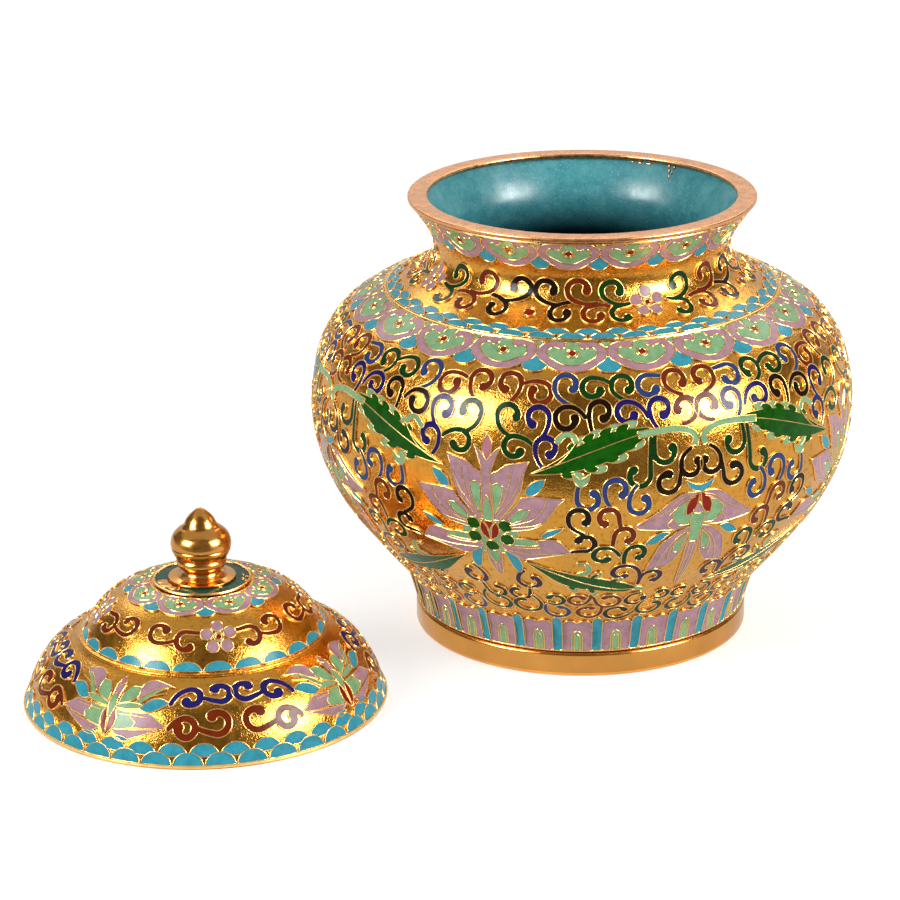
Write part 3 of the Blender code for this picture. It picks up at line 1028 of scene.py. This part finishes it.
FACING_VEINS = (
    [(2.0, 53.4), (4.4, 57.2), (6.3, 61), (7.2, 65)], [(2.8, 53), (5.4, 57), (6.8, 60.6)],
    [(1.7, 54), (3.8, 58.4), (4.9, 62.6), (5.4, 66.4)], [(3.4, 52.8), (6.4, 57.4), (7.5, 59.2)],
    [(4.6, 50.8), (9.4, 53), (11.7, 56.6), (12.3, 59)], [(4.8, 50.2), (10.4, 51.6), (12.8, 54.6)],
    [(3.6, 44.0), (7.0, 43.7), (10.6, 44.2)], [(3.6, 42.4), (10, 42.0), (16.2, 42.7)],
    [(0.5, 37.2), (0.3, 34.4)],
)
HANGING_PETALS = (
    ("lilac", [(0.3, 59.3), (3.6, 59.2), (6.1, 57.5), (9.1, 54.6), (13.2, 51.3)], [(12.8, 50.2),
        (9.5, 49.5), (5.2, 49)], [(2.0, 50), (0.9, 54), (0.3, 59.3)]),
    ("mint", [(1.2, 57.4), (2.9, 56.8), (4.4, 56), (5.7, 54.4)], [(5.4, 52.2), (4.5, 51.3)], [(4.0, 50.2),
        (1.6, 50.2)], [(1.5, 54), (1.2, 57.4)]),
    ("turquoise", [(5.5, 48.3), (7.8, 48.5), (9.7, 47.0), (11.1, 44.9)], [(9, 45), (7.1, 46.3),
        (5.5, 48.3)]),
    ("lilac", [(1.2, 49.4), (3.6, 48.6), (5.6, 46.6), (7.3, 44.5), (8.6, 40), (9.4, 36.6)], [(9.4, 35),
        (7.4, 35.7), (4.8, 36.3)], [(3.4, 38.4), (2.0, 42), (1.2, 49.4)]),
    ("mint", [(1.6, 47.6), (3.1, 46.4), (4.2, 44.2), (4.1, 41.4)], [(2.7, 41.6), (1.6, 47.6)]),
    ("lilac", [(0, 45.2), (1.3, 44.8), (1.2, 38), (0.9, 32), (0.4, 27.8), (0, 26)]),
    ("mint", [(0, 55), (1.5, 53), (1.3, 49), (1.0, 44.8), (0, 44.4)]),
    ("red", [(0.1, 59.3), (1.7, 58.0), (2.8, 55.7), (2.7, 53.0)], [(1.3, 53.8), (0.5, 56), (0.1, 59.3)]),
    ("lilac", [(0, 56.6), (1.2, 53.6)], [(0, 53.0)]),
    ("turquoise", [(0, 61.2), (1.6, 61.6), (3.3, 62.8)], [(2.2, 60.4), (0, 59.2)]),
)
HANGING_VEINS = (
    [(1.0, 58.6), (3.4, 57.7), (6.2, 55.2), (9.0, 53.0), (12.4, 51.3)],
    [(1.1, 58.0), (3.2, 57.0), (6.4, 53.6)], [(1.8, 48.4), (4.6, 45.0), (6.6, 40), (7.4, 36)],
    [(1.6, 48.0), (4.7, 43), (4.9, 38.6)], [(5.4, 49.4), (6.6, 50.6), (5.6, 52.2)],
    [(0.5, 44), (0.5, 36), (0.2, 30)],
)
SIDE_PETALS = (
    ("lilac", [(9, 16.2), (9.2, 20.6), (13, 22.2), (16, 22.1), (22.5, 20.6)], [(18.5, 20.2), (15, 19.4),
        (11.5, 17.6), (9, 16.2)]),
    ("mint", [(8, 14.9), (12, 17.7), (16.5, 19.9), (20, 20.3)], [(16, 18.7), (12.5, 16.4), (10, 14.8),
        (8, 14.9)]),
    ("mint", [(2.2, 14.4), (2.9, 17.4), (5.2, 19.5), (8.8, 19.8)], [(9.0, 17.8), (7.4, 15.8),
        (2.2, 14.4)]),
    ("mint", [(1.8, 14.1), (7, 15.2), (11.5, 15), (11.2, 14)], [(6, 13.5), (1.8, 13.4)]),
    ("turquoise", [(10.8, 14.1), (14, 16.3), (18, 17.1), (21.9, 16)], [(19.5, 15.1), (16.5, 13.8),
        (13.5, 13.3), (10.8, 14.1)]),
    ("lilac", [(8, 12.9), (12, 12.9), (15.6, 12.9), (18.5, 11.3), (21.4, 10.1)], [(16, 9.5), (9.5, 9.2)],
        [(10.2, 10.6), (8.4, 11.6), (8, 12.9)]),
    ("mint", [(1.9, 12.9), (5, 12.9), (8, 12.9)], [(8.4, 11.6), (10.2, 10.6), (9.5, 9.2)], [(5.5, 8.4),
        (2.3, 8.2)]),
    ("lilac", [(2.3, 8), (9, 8.6), (15.5, 9.2), (19.5, 9.5)], [(14, 7.9), (8.5, 6.3)], [(4.5, 6.9),
        (2.3, 8)]),
    ("turquoise", [(3, 6.4), (6, 6.9), (9.5, 6.1)], [(6, 5.6), (3, 6.4)]),
    ("rose", [(0, 22.0), (1.3, 20.8), (1.3, 19.4), (0, 18.4)]),
    ("lilac", [(0, 19.2), (1.9, 19.9), (1.6, 17.6), (1.4, 15.4), (0, 15)]),
    ("mint", [(0, 17), (1.2, 16), (1.5, 13.5), (0, 9.5)]),
    ("red", [(0.1, 6.2), (2.4, 8.4), (3.0, 10.6), (1.9, 13.2)], [(0.5, 10.9), (0.1, 6.2)]),
)
SIDE_VEINS = (
    [(3.6, 12.0), (9, 12.1), (14, 12.0)], [(9.6, 14.4), (14, 17.4), (19.8, 18.6)],
)

# Scrolls: enamel, degrees round, millimetres up, radius, head, sweep, tail
BELLY_SCROLLS = (
    ("rust", 3.2, 87.5, 2.5, 246, -256, (0.7, -5.1)),
    ("rust", 10.2, 85.4, 2.5, 155, 285, (-4.0, 2.3)),
    ("slate", 15.9, 87.8, 2.5, 326, 215, (1.9, -5.5)),
    ("green", 21.7, 87.0, 2.4, 338, -260, (4.1, 1.2)),
    ("green", 28.3, 87.5, 2.4, 313, 225, (0.5, -3.9)),
    ("slate", 34.1, 87.0, 2.5, 330, -255, (4.6, 2.2)),
    ("rust", 40.4, 87.9, 2.5, 321, 220, (0.7, -3.9)),
    ("green", 4.1, 79.4, 2.5, 352, 195, (1.0, -5.2)),
    ("navy", 10.2, 79.2, 2.5, 234, -240, (1.3, -4.6)),
    ("black", 16.2, 79.3, 2.5, 4, -275, (4.4, 0.4)),
    ("black", 23.1, 81.0, 2.3, 293, 250, (-2.1, -4.8)),
    ("navy", 28.7, 80.6, 2.3, 336, -260, (4.9, -1.3)),
    ("navy", 35.7, 81.1, 2.3, 290, 255, (-1.2, -4.6)),
    ("rust", 41.2, 80.4, 2.6, 186, -215, (-1.0, -3.6)),
    ("green", 5.7, 71.8, 2.4, 328, -250, (4.7, 0.7)),
    ("navy", 12.2, 72.0, 2.3, 297, 245, (-1.2, -4.4)),
    ("green", 36.2, 70.5, 2.5, 27, -215, (-2.4, 4.4)),
    ("green", 30.7, 65.0, 2.5, 133, 235, (3.1, 9.0)),
    ("black", 36.7, 62.8, 2.5, 85, 275, (3.6, 4.1)),
    ("black", 41.6, 66.5, 2.4, 27, -220, (0.0, 4.2)),
    ("slate", 20.7, 59.3, 2.5, 50, -235, (-2.3, 3.9)),
    ("slate", 26.2, 61.5, 2.5, 319, 225, (-1.5, -4.2)),
    ("slate", 31.0, 57.6, 2.4, 50, -235, (-0.9, 4.8)),
    ("black", 18.9, 53.8, 2.4, 324, 220, (0.9, -4.6)),
    ("rust", 24.7, 53.9, 2.3, 243, -245, (3.2, -3.2)),
    ("rust", 28.3, 48.2, 2.3, 302, 240, (-2.8, -3.8)),
    ("black", 20.0, 46.2, 2.3, 150, -250, (-3.4, -3.2)),
    ("green", 24.1, 41.9, 2.3, 305, -225, (4.0, -0.4)),
    ("green", 31.1, 42.2, 2.3, 300, 240, (-2.4, -4.3)),
    ("plum", 28.9, 34.9, 2.4, 290, -215, (4.4, -6.0)),
    ("plum", 36.1, 31.9, 2.4, 300, 240, (-2.8, -2.4)),
    ("plum", 6.9, 30.3, 2.6, 50, -240, (-1.0, 4.6)),
)
WAIST_SCROLLS = (
    ("black", 3.1, 23.9, 2.4, 107, 250, (3.3, 3.6)),
    ("green", 4.1, 18.3, 3.2, 100, 245, (2.3, 4.8)),
    ("green", 12.2, 21.6, 2.2, 143, -230, (-1.7, -1.8)),
    ("slate", 12.8, 15.7, 2.8, 75, -250, (-2.9, 3.0)),
    ("rust", 18.5, 21.7, 2.2, 37, 300, (3.2, 3.2)),
    ("rust", 21.5, 15.5, 2.7, 65, 290, (3.3, 2.8)),
    ("rust", 26.8, 21.0, 2.8, 125, -290, (-4.0, 2.2)),
    ("black", 29.9, 14.7, 2.8, 27, 265, (4.9, 1.2)),
    ("black", 34.3, 21.2, 2.4, 17, -230, (0.5, 3.0)),
    ("green", 39.4, 16.3, 3.0, 60, -250, (-2.4, 3.4)),
    ("black", 41.0, 22.5, 1.9, 120, -240, (-1.5, -2.2)),
)
NECK_SCROLLS = (
    ("black", 4.5, 117.8, 2.75, 349, 255, (3.3, -3.9)),
    ("black", 10.3, 111.3, 2.6, 17, -265, (2.8, 3.6)),
    ("rust", 16.5, 118.0, 2.9, 354, 250, (4.4, -3.5)),
    ("rust", 21.5, 111.1, 2.7, -7, -255, (4.2, 2.4)),
    ("green", 28.8, 117.6, 2.75, 347, 250, (2.4, -3.8)),
    ("green", 31.0, 110.9, 2.6, -40, -230, (2.8, 3.2)),
)
SKIRT_SCROLLS = (
    ("navy", 29.3, 17.7, 2.4, 228, 255, (-4.9, -1.8)),
    ("navy", 40.3, 18.8, 2.5, 137, -250, (-4.5, -1.2)),
    ("rust", 27.6, 9.9, 2.5, 170, 310, (-4.1, -0.2)),
    ("rust", 38.3, 11.3, 2.9, 129, -240, (-5.2, -1.2)),
)
DOME_SCROLLS = (
    ("rust", 18.0, 7.8, 2.6, 234, 230, (-3.8, 2.2)),
    ("rust", 34.0, 9.5, 2.6, 150, -250, (-4.1, -1.7)),
)


# Lobes of the leaves: degrees round, millimetres up and lean, the low leaf's with length and width too
LEAF_LOBES = (
    (16.8, 71.8, 38), (19.8, 73.8, 32), (23.2, 75.4, 26), (26.6, 76.4, 20),
    (15.6, 65.6, -4), (20.2, 67.0, 2), (24.4, 69.2, 10), (28.0, 71.8, 18),
)
LOW_LEAF_LOBES = (
    ("mint", 21.6, 32.8, 3.6, 2.2, 42), ("mint", 26.2, 31.0, 3.6, 2.0, 18),
    ("mint", 16.6, 28.6, 3.4, 2.2, -62), ("mint", 21.4, 26.8, 3.2, 2.2, -50),
    ("mint", 30.2, 27.2, 5.4, 1.6, -8), ("leaf", 21.6, 32.8, 2.4, 1.4, 42),
    ("leaf", 26.2, 31.0, 2.4, 1.3, 18), ("leaf", 16.6, 28.8, 2.2, 1.5, -62),
    ("leaf", 21.4, 27.0, 2.1, 1.5, -50),
)
LEAF_VEINS = [
    [(9.4, 65.5), (15, 68.3), (21, 71.2), (27, 73.8), (31.2, 75.2)],
    [(11.6, 68.0), (13.4, 67.6), (15.6, 69.4), (17.2, 71.8), (18.0, 73.2)],
    [(7.2, 38.7), (13.6, 34.3), (20.6, 29.9), (27.6, 27.1), (32.4, 26.8)],
]


def lappet_band(name, turning, low, high, repeats, start, eye=1.0):
    """Ruyi heads side by side: a lilac border that curls in, a mint field, a red eye, turquoise between."""
    half = 180.0 / repeats
    eye_up = low + 0.61 * (high - low)

    def fit(x, y):
        """A point as it was drawn for the shoulder, at its place in this band."""
        return x / 9.0 * half, low + (y - 91.2) / 10.1 * (high - low)

    def fitted(*runs):
        return even(*([fit(*point) for point in run] for run in runs))

    between_heads = fitted([(0, 96.4), (1.2, 95.4), (2.6, 94.2), (3.0, 92.9), (1.7, 91.5), (0, 91.2)])
    wedge = fitted([(0, 101.3), (1.3, 101.3)], [(0.9, 100.2), (0, 99.3)])
    border = fitted(
        [(0, 101.3), (3, 101.3)],
        [(5.6, 101.2), (7.7, 100.4), (8.8, 98.8), (8.9, 97.2), (8.2, 95.4), (6.5, 94.0)],
        [(5.4, 92.9), (3.8, 92.0), (1.9, 91.5), (0, 91.3)],
    )
    field = fitted(
        [(0, 101.2), (2.0, 101.2)],
        [(1.9, 100.2), (2.2, 99.2), (3.2, 98.7), (4.2, 99.2), (5.4, 99.3), (6.3, 98.2)],
        [(6.3, 97.0), (5.6, 95.9), (4.3, 95.0)], [(2.6, 93.9), (1.2, 93.4), (0, 93.3)],
    )
    drawing = Drawing()
    drawing.add(
        moved([("turquoise", between_heads), ("mint", wedge)], half)
        + [("lilac", border)] + moved([("cover", border)], 2 * half)
        + [("mint", field), ("red", circle(turning, 0, eye_up, eye))]
    )
    ring = circle(turning, 0, eye_up, eye * 1.55, 12)
    drawing.line(ring[4:] + ring[:2])
    lay(name, turning, (low + high) / 2, drawing, repeats, start)


def scale_band(name, turning, low, rise, repeats, start, rows=2):
    """Fish scales, the upper row behind the lower."""
    pitch = 360.0 / repeats
    reach = 0.48 * pitch

    def scale(x, foot):
        shares = ((0, 1), (0.45, 0.9), (0.85, 0.5), (1, 0))
        half = [(across * reach, foot + up * rise) for across, up in shares]
        return [(x + px, y) for px, y in even(half, [(0, foot)])]

    shapes = [("turquoise", scale(0, low))]
    if rows == 2:
        shapes = [("turquoise", scale(pitch / 2, low + 0.68 * rise)), ("cover", scale(pitch, low))] + shapes
    drawing = Drawing()
    drawing.add(shapes)
    lay(name, turning, low + rise, drawing, repeats, start)


def blossom(turning, x, up):
    """A plum blossom: five lilac petals, a mint middle and a red eye."""
    shapes = []
    for k in range(5):
        a = math.radians(90 + 72 * k)
        (px, py), = at(turning, x, up, [(BLOSSOM_REACH * math.cos(a), BLOSSOM_REACH * math.sin(a))])
        shapes.append(("lilac", circle(turning, px, py, BLOSSOM_PETAL)))
    middle = circle(turning, x, up, BLOSSOM_MIDDLE, 12)
    return shapes + [("mint", middle), ("red", circle(turning, x, up, BLOSSOM_EYE, 10))]


def petals(rows):
    """The shapes of a table of petals.

    An outline from middle line to middle line is the right half of an even petal. Any other petal has
    its mirror image next to it, so that the painting order holds.
    """
    shapes = []
    for colour, *runs in rows:
        if runs[0][0][0] == 0 and runs[-1][-1][0] == 0:
            shapes.append((colour, even(*runs)))
        else:
            points = outline(*runs)
            shapes += [(colour, points), (colour, mirrored(points))]
    return shapes


def facing_lotus(turning):
    """The open lotus, seen full face, with its seeds."""
    seeds = [("leaf", circle(turning, x, LOTUS_MIDDLE + y, SEED_RADIUS)) for x, y in SEEDS]
    return petals(FACING_PETALS) + seeds + petals(FACING_HEART)


def leaves(turning):
    """Beside the facing lotus the big serrated leaf with its stem, and below it the leaf that hangs."""
    lobes = [("mint", lobe(turning, x, up, 5.2, 2.3, lean)) for x, up, lean in LEAF_LOBES]
    lobes += [("leaf", lobe(turning, x - 0.4, up, 3.4, 1.7, lean)) for x, up, lean in LEAF_LOBES]
    blade = outline(
        [(8.7, 65.2), (14, 65.7), (19, 66.8), (23, 68.2), (27, 70.3), (30, 72.5), (32.6, 74.8)],
        [(34.2, 75.9), (32.6, 76.8)],
        [(27.6, 76.6), (24, 75.6), (20.6, 74.0), (17.6, 72.1), (15.4, 70.0), (12.5, 67.7), (8.7, 65.2)],
    )
    line = smooth([(30.6, 75.0), (34.5, 75.6), (38.5, 75.8), (41.4, 75.0), (42.8, 73.4), (42.5, 71.2)], 4)
    stem = stroke(line, [1.7 - 0.4 * i / len(line) for i in range(len(line))])
    hook = smooth([(18.2, 73.4), (17.4, 75.2), (15.8, 75.4), (14.5, 73.9)], 4)
    curl = stroke(hook, [1.1 + 0.4 * i / len(hook) for i in range(len(hook))], round_end=True)
    lobes += [("leaf", blade), ("mint", stem), ("mint", curl)]

    spur = smooth([(18.4, 33.6), (20.9, 35.6), (20.6, 38.4), (18.6, 38.8)], 4)
    lobes.append(("mint", stroke(spur, [max(0.8, 1.9 - 0.1 * i) for i in range(len(spur))], round_end=True)))
    lobes += [(colour, lobe(turning, *form)) for colour, *form in LOW_LEAF_LOBES]
    blade = outline(
        [(6.5, 39), (11, 37), (15, 35.2), (18.6, 33.9), (22, 32.9), (26, 31.5), (29.6, 30), (33.4, 27.6)],
        [(31, 25.7), (27, 25.8), (23.4, 26.5), (19.6, 27.4), (16.5, 28.5), (13.8, 30.4), (11.4, 33.2),
         (9, 36.2), (6.5, 39)],
    )
    cup = outline(
        [(17.4, 65.8), (18.0, 63.4), (19.2, 62.5), (20.5, 63.5), (21.0, 66.0)],
        [(20.0, 65.0), (19.2, 64.4), (18.4, 65.0), (17.4, 65.8)],
    )
    return lobes + [("leaf", blade), ("mint", cup)]


class Panel:
    """A stretch of pattern from one middle line to the next, and its mirror image on the other side.

    The two sides of a middle line differ a little in width, as they do on the jar.
    """

    def __init__(self, repeats, half):
        self.stretch = (360.0 / repeats - half) / half

    def other(self, points):
        return [(-x * self.stretch, y) for x, y in points]

    def both(self, shapes):
        result = []
        for colour, points in shapes:
            result += [(colour, points), (colour, self.other(points)[::-1])]
        return result

    def scrolls(self, turning, scrolls, width=STROKE, growth=1.0):
        result = []
        for colour, x, up, radius, *form in scrolls:
            points = scroll(turning, x, up, radius * growth, *form, width=width)
            other = [(-x * self.stretch - (px - x), py) for px, py in points][::-1]
            result += [(colour, points), (colour, other)]
        return result


# Bands


def jar_bands(jar):
    lappet_band("mouth_lappets", jar, low=123.6, high=133.0, repeats=17, start=-4.4)
    lappet_band("shoulder_lappets", jar, low=91.2, high=101.4, repeats=20, start=-2.3)
    scale_band("shoulder_scales", jar, low=102.5, rise=2.35, repeats=40, start=-2.6)

    panel = Panel(JAR_PANELS, NECK_HALF_PANEL)
    neck = Drawing()
    neck.add(
        panel.scrolls(jar, NECK_SCROLLS) + blossom(jar, NECK_HALF_PANEL, 113.9)
        + [("red", lobe(jar, -2.0, 111.1, 3.0, 2.4, 0))]
    )
    neck.line(circle(jar, 0.2, 111.1, 1.7, 12)[1:9])
    lay("neck_scrolls", jar, 114, neck, JAR_PANELS, NECK_FACING)

    panel = Panel(JAR_PANELS, BELLY_HALF_PANEL)
    belly = Drawing()
    belly.add(
        panel.scrolls(jar, BELLY_SCROLLS, growth=1.15) + panel.both(leaves(jar)) + facing_lotus(jar)
        + moved(petals(HANGING_PETALS), BELLY_HALF_PANEL)
    )
    belly.line(*LEAF_VEINS, *(panel.other(run) for run in LEAF_VEINS))
    belly.veins(FACING_VEINS)
    belly.veins(HANGING_VEINS, BELLY_HALF_PANEL)
    lay("belly_field", jar, 65, belly, JAR_PANELS, LOTUS_FACING, shares=2)

    waist = Drawing()
    waist.add(panel.scrolls(jar, WAIST_SCROLLS, width=1.35, growth=1.12))
    lay("waist_scrolls", jar, 18, waist, JAR_PANELS, LOTUS_FACING)

    foot = Drawing()
    arch = even([(0, 9.4), (1.4, 10.2), (3.4, 10.2), (4.8, 9.0)], [(4.8, 0.4)], [(0, 0.4)])
    inner = even([(0, 6.4), (1.2, 5.8), (1.8, 4.2), (1.8, 0.4)], [(0, 0.4)])
    heart = even([(0, 5.2), (0.8, 4.6), (1.0, 3.4), (1.0, 0.4)], [(0, 0.4)])
    bar = even([(0, 11.9), (1.1, 11.4), (1.6, 10.2)], [(1.6, 0.4)], [(0, 0.4)])
    foot.add([("lilac", arch), ("mint", inner)] + moved([("turquoise", bar)], 180 / FOOT_PETALS))
    foot.line(heart[:-1])
    lay("foot_petals", jar, 6, foot, FOOT_PETALS, -0.93)


def lid_bands(skirt, dome):
    scale_band("lid_rim_scales", skirt, low=1.0, rise=3.2, repeats=36, start=0.6)

    panel = Panel(LID_PANELS, 180.0 / LID_PANELS)
    field = Drawing()
    field.add(petals(SIDE_PETALS) + panel.scrolls(skirt, SKIRT_SCROLLS, width=1.85))
    field.veins(SIDE_VEINS)
    lay("lid_skirt_field", skirt, 12, field, LID_PANELS, -28.0)

    scale_band("lid_step_scales", dome, low=0.25, rise=2.5, repeats=25, start=-1.5, rows=1)
    upper = Drawing()
    upper.add(panel.scrolls(dome, DOME_SCROLLS, width=1.5) + blossom(dome, 0.0, 8.9))
    lay("lid_dome_field", dome, 9, upper, LID_PANELS, 15.0)
    lappet_band("lid_top_lappets", dome, low=15.2, high=22.2, repeats=8, start=-14.0, eye=0.85)


def wire_ring(name, axis, radius, height, thickness):
    turned(name, axis, arc((radius, height), thickness, 0, 315, 7), [BRIGHTENED_GILT_WIRE])


def plain_rings(jar):
    """Round wires that close the bands, and the enamelled disc under the finial."""
    for number, (up, thickness) in enumerate(BAND_WIRES):
        height = float(np.interp(up, jar.run, [z for _, z in JAR_OUTLINE]))
        wire_ring(f"band_wire_{number + 1}", JAR_AXIS, jar.radius(up) + 0.3 * thickness, height, thickness)
    wire_ring("lid_rim_wire", LID_AXIS, LID_RIM[0] - RIM_WIRE_INSET, RIM_WIRE_HEIGHT, RIM_WIRE)
    edge, top = LID_TOP[0] - TOP_WIRE_INSET, LID_TOP[1] + TOP_WIRE_LIFT
    wire_ring("lid_top_wire", LID_AXIS, edge, top, TOP_WIRE)
    disc = rounded_ring(STUD_HOLE, edge, LID_TOP[1] - 0.1, top, 0.05)
    turned("lid_top_disc", LID_AXIS, disc, [ENAMELS["teal"]])


# Studio


def camera():
    data = bpy.data.cameras.new("studio_camera")
    data.sensor_width = SENSOR
    data.lens = FOCAL_PIXELS / FRAME_PIXELS * SENSOR
    data.clip_end = 10.0
    view = new_object("studio_camera", data)
    turn = (
        Matrix.Rotation(math.radians(-CAMERA_YAW), 4, "Z")
        @ Matrix.Rotation(math.radians(90 - CAMERA_PITCH), 4, "X")
        @ Matrix.Rotation(math.radians(CAMERA_ROLL), 4, "Z")
    )
    view.matrix_world = Matrix.Translation(Vector((*JAR_AXIS, 0.0)) + CAMERA_FROM_JAR) @ turn
    bpy.context.scene.camera = view


def softbox(name, place, target, width, height, power, misses=None):
    """A rectangular light that faces a target. One kind of ray can miss it."""
    data = bpy.data.lights.new(name, "AREA")
    data.shape = "RECTANGLE"
    data.size = width
    data.size_y = height
    data.energy = power
    light = new_object(name, data)
    light.location = place
    light.rotation_euler = (Vector(target) - Vector(place)).to_track_quat("-Z", "Y").to_euler()
    if misses:
        setattr(light, misses, False)


def sheet(name, low, high, glow, colour=BLACK, only_reflected=True):
    """A flat sheet between two corners, which gives off its own glow."""
    mesh = bpy.data.meshes.new(name)
    (x0, y0, z0), (x1, y1, z1) = low, high
    mesh.from_pydata([(x0, y0, z0), (x1, y0, z0), (x1, y1, z1), (x0, y1, z1)], [], [(0, 1, 2, 3)])
    made = new_object(name, mesh)
    finish = Finish(name, colour, 0.9)
    finish.feed({"Emission Color": WHITE, "Emission Strength": glow})
    mesh.materials.append(finish.material)
    if only_reflected:
        for ray in ("camera", "diffuse", "shadow", "transmission"):
            setattr(made, f"visible_{ray}", False)


def studio():
    for light in SOFTBOXES:
        softbox(*light)
    for card in SHEETS:
        sheet(*card)
    world = bpy.data.worlds.new("studio_air")
    world.use_nodes = True
    fill(world.node_tree, world.node_tree.nodes["Background"].inputs, {"Color": AIR, "Strength": AIR_GLOW})
    bpy.context.scene.world = world
    bpy.context.scene.view_settings.view_transform = "Standard"


def main():
    camera()
    studio()
    jar = Turning("jar_outline", JAR_AXIS, JAR_OUTLINE)
    skirt = Turning("skirt_outline", LID_AXIS, SKIRT_OUTLINE)
    dome = Turning("dome_outline", LID_AXIS, DOME_OUTLINE)
    jar_shell()
    lid_shell()
    rings()
    finial()
    repairs()
    jar_bands(jar)
    lid_bands(skirt, dome)
    plain_rings(jar)
    for turning in (jar, skirt, dome):
        bpy.data.objects.remove(turning.curve)


main()
